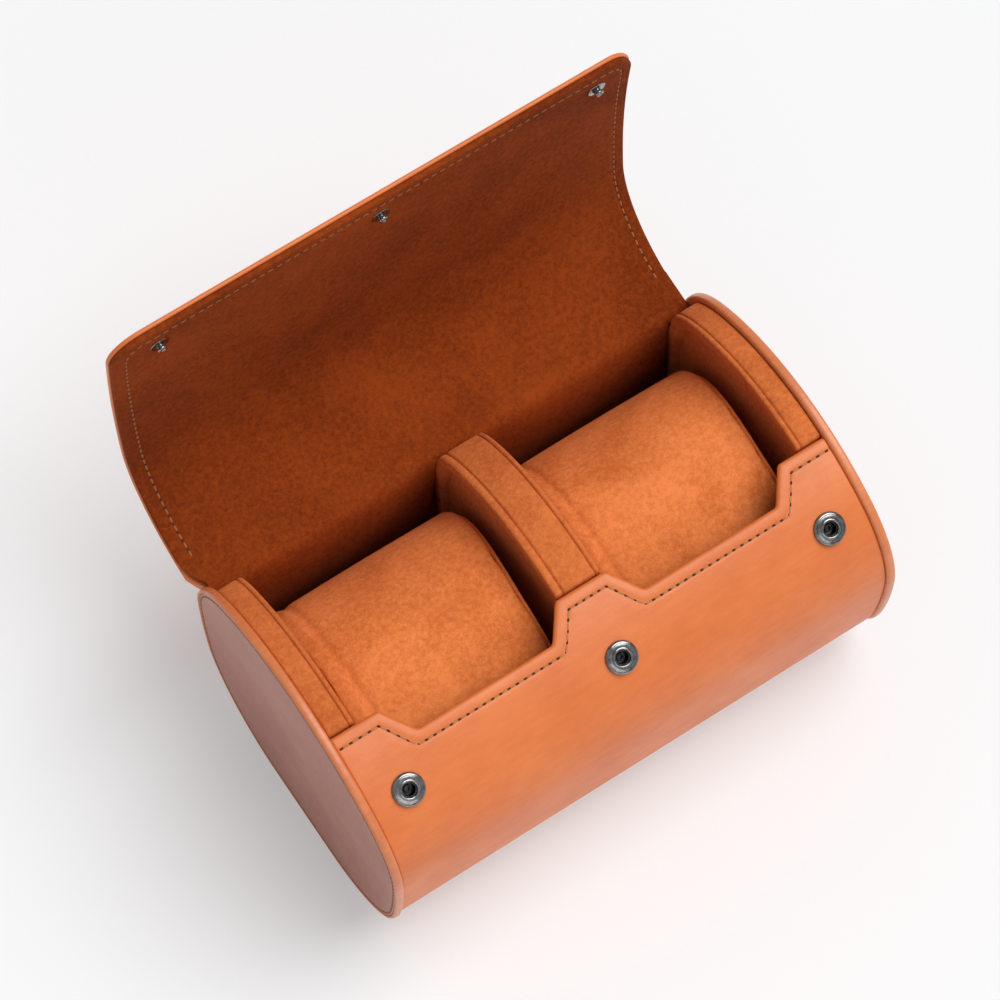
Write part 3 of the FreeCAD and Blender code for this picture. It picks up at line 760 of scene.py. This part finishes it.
centre_half, inner_end, divider_middle = 8.0, 80.3, 48
seam_wide, centre_left_seam = 1.7, 2.6
spans = {
    "left": (-shell_half, -inner_end),
    "centre": (-centre_half, centre_half),
    "right": (inner_end, shell_half),
}
for label, (left, right) in spans.items():
    left_seam = centre_left_seam if label == "centre" else seam_wide
    opening = flush_side(left, 1) if label == "left" else band_side(left, 1, left_seam)
    closing = flush_side(right, -1) if label == "right" else band_side(right, -1, seam_wide)
    profile = opening + [((left + right) / 2, -0.12)] + closing[::-1]
    band = wrapped(label + "_divider_wrap", profile)
    open_sides = [(left, 1)] * (label != "left") + [(right, -1)] * (label != "right")
    faces = [wrapped(label + "_panel", panel(edge, inward)) for edge, inward in open_sides]
    side_panels = joined(label + "_divider_panels", faces)
    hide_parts(label + "_divider_band", label + "_divider_core")
    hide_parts("centre_divider_faces" if label == "centre" else label + "_divider_face")
    for piece in (band, side_panels):
        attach(piece, "case")

# Watch cushions. Foam barrels under suede, drawn in at both ends to a flat cap with a corded seam.
# Each one lies loose in its compartment and lifts straight out.
cushion_suede = suede("cushion_suede", (0.58, 0.135, 0.028), (0.86, 0.245, 0.07), sheen=0.1, patches=30)
cushion_z, cushion_radius, cushion_end = 46.85, 43.3, 40.3
cushion_long, cushion_cap, cushion_corner, cushion_crown = 67.4, 1.02, 3.0, 0.3
cap_radius, cord_radius, round_steps = 38.8, 0.65, 150
cushion_left, lengthwise_fold = {"left": -79.9, "right": 8.4}, {"left": 7.5, "right": 6.0}
slant, slant_reach, puff = 3.6, 20, 1.2


def barrel_radius(along):
    """Radius of the barrel at distances from its first end."""
    length = cushion_long - 2 * cushion_cap
    side = cushion_radius - cushion_crown
    middle = 1 - ((along - length / 2) / (length / 2 - cushion_corner)) ** 2
    from_end = np.minimum(along, length - along)
    t = np.clip(1 - from_end / cushion_corner, 0, 1)
    corner = cushion_end + (side - cushion_end) * np.sqrt(np.maximum(1 - t**2, 0))
    return np.where(from_end < cushion_corner, corner, side + cushion_crown * np.clip(middle, 0, 1))


def turned_rings(profile, seat, axis, around):
    """Rings of points about an axis, one for each (radius, height) pair."""
    axis = Vector(axis).normalized()
    side = axis.orthogonal().normalized()
    third = np.array(axis.cross(side))
    angle = np.linspace(0, 2 * math.pi, around, endpoint=False)
    ring = np.cos(angle)[:, None] * np.array(side)[None, :] + np.sin(angle)[:, None] * third[None, :]
    return [np.array(seat, float) + np.array(axis) * h + ring * r for r, h in profile]


def lathe(name, profile, seat, axis, material, around=64):
    """A turned body from (radius, height) pairs that start and end on its axis."""
    rings = turned_rings(profile[1:-1], seat, axis, around)
    ends = turned_rings([(0, profile[0][1]), (0, profile[-1][1])], seat, axis, 1)
    piece = make_piece(name, np.concatenate(rings + ends), tube_faces(len(rings), around), material)
    tidy_mesh(piece)
    return piece


def hoop(name, major, minor, seat, material, around=160, sides=12):
    """A ring of cord about an axis along X."""
    a = np.linspace(0, 2 * math.pi, around, endpoint=False)[:, None]
    b = np.linspace(0, 2 * math.pi, sides, endpoint=False)[None, :]
    radius = major + minor * np.cos(b)
    across = seat[0] + minor * np.sin(b) + 0 * a
    points = np.stack([across, seat[1] + radius * np.cos(a), seat[2] + radius * np.sin(a)], axis=-1)
    rows = np.concatenate([points, points[:1]]).reshape(-1, 3)
    piece = make_piece(name, rows, grid_faces(around + 1, sides, wrap=True).tolist(), material)
    tidy_mesh(piece)
    return piece


def puffed(piece, most, frames=20):
    """Fills a closed cover with air as loose cloth, then holds each point near where it was cut."""
    before = np.array([v.co for v in piece.data.vertices])
    cloth = piece.modifiers.new("fill", "CLOTH")
    cloth.settings.use_pressure = True
    cloth.settings.uniform_pressure_force = 4
    cloth.settings.effector_weights.gravity = 0
    cloth.settings.quality = 4
    cloth.settings.tension_stiffness = 12
    cloth.settings.compression_stiffness = 12
    cloth.settings.bending_stiffness = 0.4
    scene = bpy.context.scene
    for frame_number in range(1, frames + 1):
        scene.frame_set(frame_number)
    shaped = piece.evaluated_get(bpy.context.evaluated_depsgraph_get()).to_mesh()
    after = np.array([v.co for v in shaped.vertices])
    piece.modifiers.clear()
    scene.frame_set(1)
    move = after - before
    size = np.linalg.norm(move, axis=1)
    move *= (np.minimum(size, most) / np.maximum(size, 1e-9))[:, None]
    piece.data.vertices.foreach_set("co", (before + move).ravel())
    piece.data.update()


def lean_back(piece, end):
    """Slants the right end of a cushion a little, so that it is longest at its back."""
    points = np.array([v.co for v in piece.data.vertices])
    near_end = np.clip((points[:, 0] - (end - slant_reach) * 0.001) / (slant_reach * 0.001), 0, 1)
    behind = np.clip((points[:, 1] + 0.01) / 0.05, 0, 1)
    points[:, 0] += slant * 0.001 * near_end * behind * behind * (3 - 2 * behind)
    piece.data.vertices.foreach_set("co", points.ravel())
    piece.data.update()


cap_shape = [(0, 0.62), (13, 0.6), (26, 0.5), (35, 0.34), (38.0, 0.05), (38.6, -0.35), (38.2, -0.8)]
cap_shape += [(34, -0.9), (0, -0.9)]
for label in ("left", "right"):
    start = cushion_left[label] + cushion_cap
    length = cushion_long - 2 * cushion_cap
    t = (1 - np.cos(np.linspace(0, math.pi, 56))) / 2
    stations = np.unique(np.round(np.concatenate([length * t, np.linspace(0, length, 40)]), 3))
    radii = barrel_radius(stations)
    valley = lengthwise_fold[label]
    radii = radii - 0.7 * bump(stations, valley, 1.3) + 0.25 * bump(stations, valley - 2.5, 1.4)
    profile = [(0, 0.2), (34, 0.2), (38.6, 0.1)] + list(zip(radii, stations))
    profile += [(38.6, length - 0.1), (34, length - 0.2), (0, length - 0.2)]
    seat = (start, 0, cushion_z)
    pad = lathe(label + "_cushion_cover", profile, seat, (1, 0, 0), cushion_suede, round_steps)
    puffed(pad, puff * 0.001)
    cords, caps = [], []
    for x, out in ((start, -1), (start + length, 1)):
        seat = (x + out * 0.1, 0, cushion_z)
        cords.append(hoop(label + "_cord", cap_radius + cord_radius + 0.2, cord_radius, seat, cushion_suede))
        seat = (x + out * 0.15, 0, cushion_z)
        caps.append(lathe(label + "_cap", cap_shape, seat, (out, 0, 0), cushion_suede, round_steps))
    cord = joined(label + "_cushion_cord", cords)
    cap = joined(label + "_cushion_end_covers", caps)
    for piece, node in ((pad, "pad"), (cord, "piping"), (cap, "end_caps")):
        lean_back(piece, start + length)
        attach(piece, label + "_cushion")
        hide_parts(label + "_cushion_" + node)

# Lid. A curved flap of leather lined with suede, sewn round its border. Its foot comes up from a
# strip on the back of the shell, and it bends on folds that the two skins cross unbroken.
lid_half, lid_thick, lining_deep, set_in, lid_corner = 92.3, 3.3, 1.8, 0.45, 11.0
border_draw, right_draw, left_draw = 13, 2.4, 0.9
fold_to_stud, stud_to_edge, sewn_in = 6.916, 12.0, 5.0
fold_places = [np.array(j["pos_m"][1:]) * 1000 for j in frame["joints"] if j["type"] == "hinge"]
hinge = fold_places[0]
foot_lean, foot_bend, far_bend = math.radians(5.0), 38.0, 360.0
chord = float(np.linalg.norm(fold_places[1] - hinge))
foot_turn = 2 * math.asin(chord / (2 * foot_bend))
foot_long = foot_bend * foot_turn
far_chord = float(np.linalg.norm(fold_places[2] - fold_places[1]))
far_step = far_bend * 2 * math.asin(far_chord / (2 * far_bend))
stud_run = foot_long + 3 * far_step + fold_to_stud
lid_long = stud_run + stud_to_edge
foot_mid = hinge + foot_bend * np.array([-math.sin(foot_lean), math.cos(foot_lean)])
far_lean = foot_lean + foot_turn
far_mid = fold_places[1] + far_bend * np.array([-math.sin(far_lean), math.cos(far_lean)])


def drawn(x):
    """Draws the right border of the lid in and the left one out, as the flap hangs a little askew."""
    right, left = (np.clip((side * x - 79) / border_draw, 0, 1) for side in (1, -1))
    return x - right_draw * right * right * (3 - 2 * right) - left_draw * left * left * (3 - 2 * left)


def on_lid(x, u, t):
    """Point on the open lid at run u from the hinge, at depth t outwards from its inner face."""
    near = foot_lean + np.minimum(u, foot_long) / foot_bend
    far = far_lean + np.maximum(u - foot_long, 0) / far_bend
    bent = u <= foot_long
    lean = np.where(bent, near, far)
    radius = np.where(bent, foot_bend, far_bend) + t
    y = np.where(bent, foot_mid[0], far_mid[0]) + radius * np.sin(lean)
    z = np.where(bent, foot_mid[1], far_mid[1]) - radius * np.cos(lean)
    return np.stack([drawn(x) + 0 * y, y, z], axis=-1)


def border_gap(x, u, inset=0.0):
    """Distance from the border of the lid, or of a panel set in from it, its corners rounded."""
    bend = lid_corner - inset
    side = lid_half - inset - np.abs(x)
    front = lid_long - inset - u
    round_gap = bend - np.hypot(np.minimum(side - bend, 0), np.minimum(front - bend, 0))
    return np.where((side < bend) & (front < bend), round_gap, np.minimum(side, front))


edge_steps = [0, 0.03, 0.12, 0.3, 0.5, 0.75, 1.1, 1.6, 2.3, 3.2, 4.0, 4.6, 5.0, 5.4, 6.2, 7.6, 9.3]
edge_steps += [11.2, 13.2]
panel_steps = [0, 0.03, 0.1, 0.22, 0.4, 0.6, 0.8, 1.4, 2.4, 3.3, 3.9, 4.25, 4.55, 4.85, 5.3, 6.4, 8.3, 11]
edge_steps, panel_steps = np.array(edge_steps), np.array(panel_steps)


def lid_columns(half, steps):
    """Places across the lid, close together by its two side borders."""
    middle = np.linspace(-half + steps[-1], half - steps[-1], 27)[1:-1]
    return np.concatenate([-half + steps, middle, half - steps[::-1]])


def lid_rows(low, high, x, steps, inset, last):
    """Rows of one stretch of the lid, closing up to the border on the last one."""
    if not last:
        rows = np.linspace(low, high, max(3, int((high - low) / 1.6) + 1))
        return np.repeat(rows[:, None], len(x), axis=1)
    bend = lid_corner - inset
    side = np.minimum(lid_half - inset - np.abs(x) - bend, 0)
    end = lid_long - inset - bend + np.sqrt(np.maximum(bend * bend - side * side, 0))
    near = end[None, :] - steps[::-1][:, None]
    share = np.linspace(0, 1, 7)[:-1][:, None]
    far = low + (near[:1] - low) * share
    return np.concatenate([far, near])


stretches = ["foot", "lower", "middle", "upper", "front"]
cuts = [foot_long * 0.5] + [foot_long + far_step * share for share in (0.5, 1.5, 2.5)] + [lid_long]
starts = [4.2] + cuts[:-1]
foot_half, lining_start = 88.9, 10.0
# The thread on the lid is a darker copy of the tan thread. Its darkness is painted shade, to match the
# shaded inside of the lid.
lid_thread_painted_shade = waxed("lid_thread_painted_shade", (0.28, 0.07, 0.014), (0.48, 0.15, 0.04))
# The suede of the lid is a darker, more saturated copy of the lining suede. This is painted shade, because
# the inside of the open lid stands steep and gets little light. The lining tucked down inside the back of
# the case takes it too.
lid_suede_painted_shade = suede("lid_suede_painted_shade", (0.15, 0.021, 0.0012), (0.30, 0.050, 0.0048), sheen=0.02, patches=17)
foot_outer = [(55.95, 55.8), (56.6, 56.3), (57.2, 58.2), (57.55, 61.2), (57.72, 64.4), (57.62, 66.6)]
foot_outer += [(57.68, 68.1), (58.05, 69.15), (58.75, 69.75), (59.7, 70.0)]
foot_inner = [(55.9, 55.8), (55.95, 57.1), (56.0, 59.0), (56.03, 61.5), (55.95, 64.4), (55.72, 66.6)]
foot_inner += [(55.53, 68.1), (55.25, 69.6), (55.2, 70.9), (56.6, 71.6)]
tuck_inside = [(49.6, 38.0), (49.0, 44.0), (48.6, 50.0), (48.6, 56.0), (48.9, 61.0), (49.5, 65.5)]
tuck_inside += [(50.2, 69.2), (51.1, 72.0), (52.3, 73.8), (54.0, 74.8), (56.2, 75.1)]
tuck_over = [(51.3, 73.3), (51.4, 73.4), (51.5, 73.55), (51.6, 73.7), (51.75, 73.85), (51.95, 74.0)]
tuck_over += [(52.2, 74.15), (52.5, 74.3), (53.0, 74.55), (54.2, 74.95), (56.2, 75.1)]
bridge = [(58.6, 74.9), (61.6, 74.65), (64.2, 74.75), (66.0, 75.0)]


def sharpened(piece, angle=55):
    """Shades the edges that bend by more than this angle as sharp ones."""
    piece.data.set_sharp_from_angle(angle=math.radians(angle))


def bend_over(piece, k):
    """Bakes the transform of a stretch of the lid into its mesh."""
    if k == 0:
        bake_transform(piece)
        return
    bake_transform(piece)


for k, name in enumerate(stretches):
    last = k == 4
    x = lid_columns(lid_half, edge_steps)
    rows_u = lid_rows(starts[k], cuts[k], x, edge_steps, 0, last)
    rows_x = np.broadcast_to(x[None, :], rows_u.shape)
    gap = border_gap(rows_x, rows_u)
    outer_t = lid_thick - rolled(gap, 0.75) - 0.2 * bump(gap, sewn_in, 0.45)
    inner_t = lining_deep + 0.05 + rolled(gap, 0.65)
    outer = on_lid(rows_x, rows_u, outer_t)
    inner = on_lid(rows_x, rows_u, inner_t)
    if k == 0:
        spread = np.array([0] * (len(foot_outer) - 3) + [0.05, 0.22, 0.55])
        side_turn = rolled(lid_half - np.abs(x), 0.7)
        foot_rows = [[], []]
        for (oy, oz), (iy, iz), share in zip(foot_outer, foot_inner, spread):
            wide = (1 - share) * lid_columns(foot_half, edge_steps) + share * drawn(x)
            foot_rows[0].append(np.stack([wide, oy - side_turn * 0.9, oz + 0 * x], axis=-1))
            foot_rows[1].append(np.stack([wide, iy + 0 * x, iz + 0 * x], axis=-1))
        outer, inner = np.concatenate([foot_rows[0], outer]), np.concatenate([foot_rows[1], inner])
    skin = closed_sheet("lid_" + name + "_leather", outer, inner, tan_leather)
    tidy_mesh(skin)
    sharpened(skin)
    bend_over(skin, k)
    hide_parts(*(["hinge_strip", "lid_leather_1"] if k == 0 else ["lid_leather_%d" % (k + 1)]))

    x = lid_columns(lid_half - set_in, panel_steps)
    rows_u = lid_rows(starts[k] if k else lining_start, cuts[k], x, panel_steps, set_in, last)
    rows_x = np.broadcast_to(x[None, :], rows_u.shape)
    gap = border_gap(rows_x, rows_u, set_in)
    inner_t = rolled(gap, 0.8) + 0.28 * bump(gap, sewn_in - set_in, 0.45)
    outer_t = lining_deep - 0.05 - rolled(gap, 0.3)
    face = on_lid(rows_x, rows_u, inner_t)
    under = on_lid(rows_x, rows_u, outer_t)
    if k == 0:
        tucked_x = lid_columns(foot_half, panel_steps)
        past_centre = np.clip((np.abs(tucked_x) - centre_half - 0.4) / 2.2, 0, 1)
        before_end = np.clip((inner_end - 0.3 - np.abs(tucked_x)) / 2.2, 0, 1)
        free = past_centre * before_end
        free = (free * free * (3 - 2 * free))[:, None]
        over, inside = (np.array(rows + bridge)[:, None, :] for rows in (tuck_over, tuck_inside))
        curve = over * (1 - free) + inside * free
        along = np.gradient(curve, axis=0)
        along /= np.linalg.norm(along, axis=-1, keepdims=True)
        back = curve + np.stack([along[..., 1], -along[..., 0]], axis=-1) * 0.7
        spread = np.array([0] * len(tuck_inside) + [0.4, 0.7, 0.88, 0.97])[:, None]
        wide = ((1 - spread) * tucked_x + spread * drawn(x))[..., None]
        face = np.concatenate([np.concatenate([wide, curve], axis=-1), face])
        under = np.concatenate([np.concatenate([wide, back], axis=-1), under])
    lining = closed_sheet("lid_" + name + "_suede", face, under, lid_suede_painted_shade)
    tidy_mesh(lining)
    sharpened(lining)
    bend_over(lining, k)
    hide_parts("lid_lining_%d" % (k + 1))

    for label, depth, sign in (("inner", 0.18, 1), ("outer", lid_thick - 0.14, -1)):
        rows = []
        if last:
            bend = lid_corner - sewn_in
            side_x, front_u = -lid_half + sewn_in, lid_long - sewn_in
            side_u = np.arange(starts[k], front_u - bend, 0.4)
            turn = np.linspace(0, math.pi / 2, 24)
            straight = np.stack([np.full_like(side_u, side_x), side_u], axis=1)
            round_x, round_u = side_x + bend * (1 - np.cos(turn)), front_u - bend + bend * np.sin(turn)
            left = np.concatenate([straight, np.stack([round_x, round_u], axis=1)])
            flip = left[::-1] * np.array([-1, 1])
            middle = np.linspace(left[-1, 0], flip[0, 0], 400)[1:-1]
            middle = np.stack([middle, np.full_like(middle, front_u)], axis=1)
            rows.append(np.concatenate([left, middle, flip]))
        else:
            first = starts[k] + (4.5 if k == 0 else 0)
            side_u = np.linspace(first, cuts[k], 60)
            for side in (-1, 1):
                rows.append(np.stack([np.full_like(side_u, side * (lid_half - sewn_in)), side_u], axis=1))
        made = []
        for row in rows:
            line, above = (on_lid(*row.T, np.full(len(row), t)) for t in (depth, depth - sign))
            row_name = "lid_%s_%s_thread" % (name, label)
            made.append(stitch_row(row_name, line, above - line, None, thread=lid_thread_painted_shade))
        for kind, parts in zip(("stitching", "holes"), zip(*made)):
            piece = joined("lid_%s_%s_%s" % (name, label, kind), parts) if len(parts) > 1 else parts[0]
            bend_over(piece, k)

# Snap fasteners. Three ring sockets riveted through the front, each with a pressed cup behind it,
# and three studs held by plates between the leather and the lining of the lid. All dark nickel.
def nickel(name, dark, light, low, high):
    """Plated metal, its tone and gloss changing a little from place to place."""
    material, nodes, links = new_material(name)
    place = nodes.new("ShaderNodeTexCoord")
    wear = nodes.new("ShaderNodeTexNoise")
    wear.inputs["Scale"].default_value = 700
    wear.inputs["Detail"].default_value = 4
    links.new(place.outputs["Object"], wear.inputs["Vector"])
    colour = between(nodes, links, wear.outputs["Fac"], dark, light, 0.35, 0.65)
    gloss = nodes.new("ShaderNodeMapRange")
    gloss.inputs["To Min"].default_value = low
    gloss.inputs["To Max"].default_value = high
    links.new(wear.outputs["Fac"], gloss.inputs["Value"])
    skin = nodes.new("ShaderNodeBsdfPrincipled")
    skin.inputs["Metallic"].default_value = 1
    links.new(colour, skin.inputs["Base Color"])
    links.new(gloss.outputs["Result"], skin.inputs["Roughness"])
    links.new(skin.outputs[0], nodes.new("ShaderNodeOutputMaterial").inputs["Surface"])
    return material


dark_nickel = nickel("dark_nickel", (0.19, 0.185, 0.18), (0.33, 0.32, 0.315), 0.1, 0.24)
shaded_nickel = nickel("shaded_nickel", (0.035, 0.034, 0.033), (0.08, 0.078, 0.076), 0.25, 0.4)

snap_out = 76.6
snap_x = (-snap_out, 0.0, snap_out)
ring_seat, snap_axis = (-40.29, 92.28), (0.0, -0.54185, 0.84047)


def turned_ring(name, profile, seat, axis, material, around=72):
    """A turned body with a hole through it, from a closed loop of (radius, height) pairs."""
    points = np.concatenate(turned_rings(profile + profile[:1], seat, axis, around))
    piece = make_piece(name, points, grid_faces(len(profile) + 1, around, wrap=True).tolist(), material)
    tidy_mesh(piece)
    return piece


def turned_groove(radius, height, half=0.11, deep=0.16):
    """A fine turned groove in a flat face, from outside inwards."""
    floor_points = [(radius + half * 0.5, height - deep), (radius - half * 0.5, height - deep)]
    return [(radius + half, height)] + floor_points + [(radius - half, height)]


ring_profile = [(2.46, 0.05), (5.2, 0.05), (5.32, 0.12), (5.35, 0.35), (5.3, 0.7), (5.15, 1.0), (4.9, 1.22)]
ring_profile += [(4.7, 1.3)] + turned_groove(4.5, 1.32)
ring_profile += [(4.1, 1.38), (3.7, 1.42)] + turned_groove(3.4, 1.44)
ring_profile += [(3.1, 1.55), (2.85, 1.63), (2.62, 1.6), (2.5, 1.5), (2.46, 1.35)]
cup_profile = [(0, -2.44), (2.3, -2.44), (2.39, -2.35), (2.4, 0.85), (2.05, 0.85), (2.05, -1.9)]
cup_profile += [(1.95, -2.05), (1.35, -2.09), (1.25, -2.0), (1.22, -1.1), (1.1, -0.98), (0.8, -0.98)]
cup_profile += [(0.7, -1.08), (0.68, -2.05), (0, -2.05)]
stud_profile = [(0, 0.05), (3.0, 0.05), (3.17, 0.1), (3.2, 0.2), (3.1, 0.3), (2.8, 0.36), (2.6, 0.33)]
stud_profile += [(2.4, 0.38), (2.0, 0.43), (1.45, 0.47), (1.2, 0.6), (1.15, 0.85), (1.2, 1.08), (1.42, 1.2)]
stud_profile += [(1.55, 1.4), (1.55, 1.75), (1.45, 1.98), (1.2, 2.18), (0.9, 2.28), (0.75, 2.24)]
stud_profile += [(0.6, 2.0), (0.3, 1.9), (0, 1.9)]
rings, cups, studs = [], [], []
for x in snap_x:
    rings.append(turned_ring("ring", ring_profile, (x, *ring_seat), snap_axis, dark_nickel))
    cups.append(lathe("cup", cup_profile, (x, *ring_seat), snap_axis, shaded_nickel))
    seat = on_lid(x, np.array(stud_run), 0.0)
    outward = on_lid(x, np.array(stud_run), 1.0) - seat
    studs.append(lathe("stud", stud_profile, seat, -outward, dark_nickel))
snap_pieces = {
    "socket_rings": (rings, "snap_socket_rings", "case"),
    "socket_cups": (cups, "snap_socket_cups", "case"),
    "lid_studs": (studs, "snap_studs", "lid_5"),
}
for name, (parts, node, body) in snap_pieces.items():
    piece = joined(name, parts)
    sharpened(piece, 45)
    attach(piece, body)
    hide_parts(node)

# Socket holes. Three round holes punched through the turned front edge of the shell leather, just
# wide enough for the barrels of the sockets.
hole_radius = 2.55
punch_profile = [(0, -8), (hole_radius, -8), (hole_radius, 4), (0, 4)]
for x in snap_x:
    punch = lathe("punch", punch_profile, (x, *ring_seat), snap_axis, tan_leather, around=40)
    cut = shell_piece.modifiers.new("hole", "BOOLEAN")
    cut.operation, cut.solver, cut.object = "DIFFERENCE", "EXACT", punch
    punched = shell_piece.evaluated_get(bpy.context.evaluated_depsgraph_get())
    mesh = bpy.data.meshes.new_from_object(punched)
    shell_piece.modifiers.clear()
    shell_piece.data = mesh
    bpy.data.objects.remove(punch)
shell_piece.data.polygons.foreach_set("use_smooth", [True] * len(shell_piece.data.polygons))
sharpened(shell_piece, 60)

# Stiffeners. Grey card inside the shell and the discs, a washer behind each socket and a plate
# behind each stud, all between the leather and the lining.
grey_card, nodes, links = new_material("grey_card")
place = nodes.new("ShaderNodeTexCoord")
pulp = nodes.new("ShaderNodeTexNoise")
pulp.inputs["Scale"].default_value = 400
pulp.inputs["Detail"].default_value = 5
links.new(place.outputs["Object"], pulp.inputs["Vector"])
colour = between(nodes, links, pulp.outputs["Fac"], (0.16, 0.15, 0.14), (0.30, 0.29, 0.27))
skin = nodes.new("ShaderNodeBsdfPrincipled")
skin.inputs["Roughness"].default_value = 0.9
links.new(colour, skin.inputs["Base Color"])
links.new(skin.outputs[0], nodes.new("ShaderNodeOutputMaterial").inputs["Surface"])
stiffeners = {
    grey_card: ["shell_board", "left_end_board", "right_end_board"],
    dark_nickel: ["snap_back_washers", "snap_stud_plates"],
}
for finish, names in stiffeners.items():
    for name in names:
        stiffener = frame["nodes"][name]
        stiffener.data.materials.clear()
        stiffener.data.materials.append(finish)
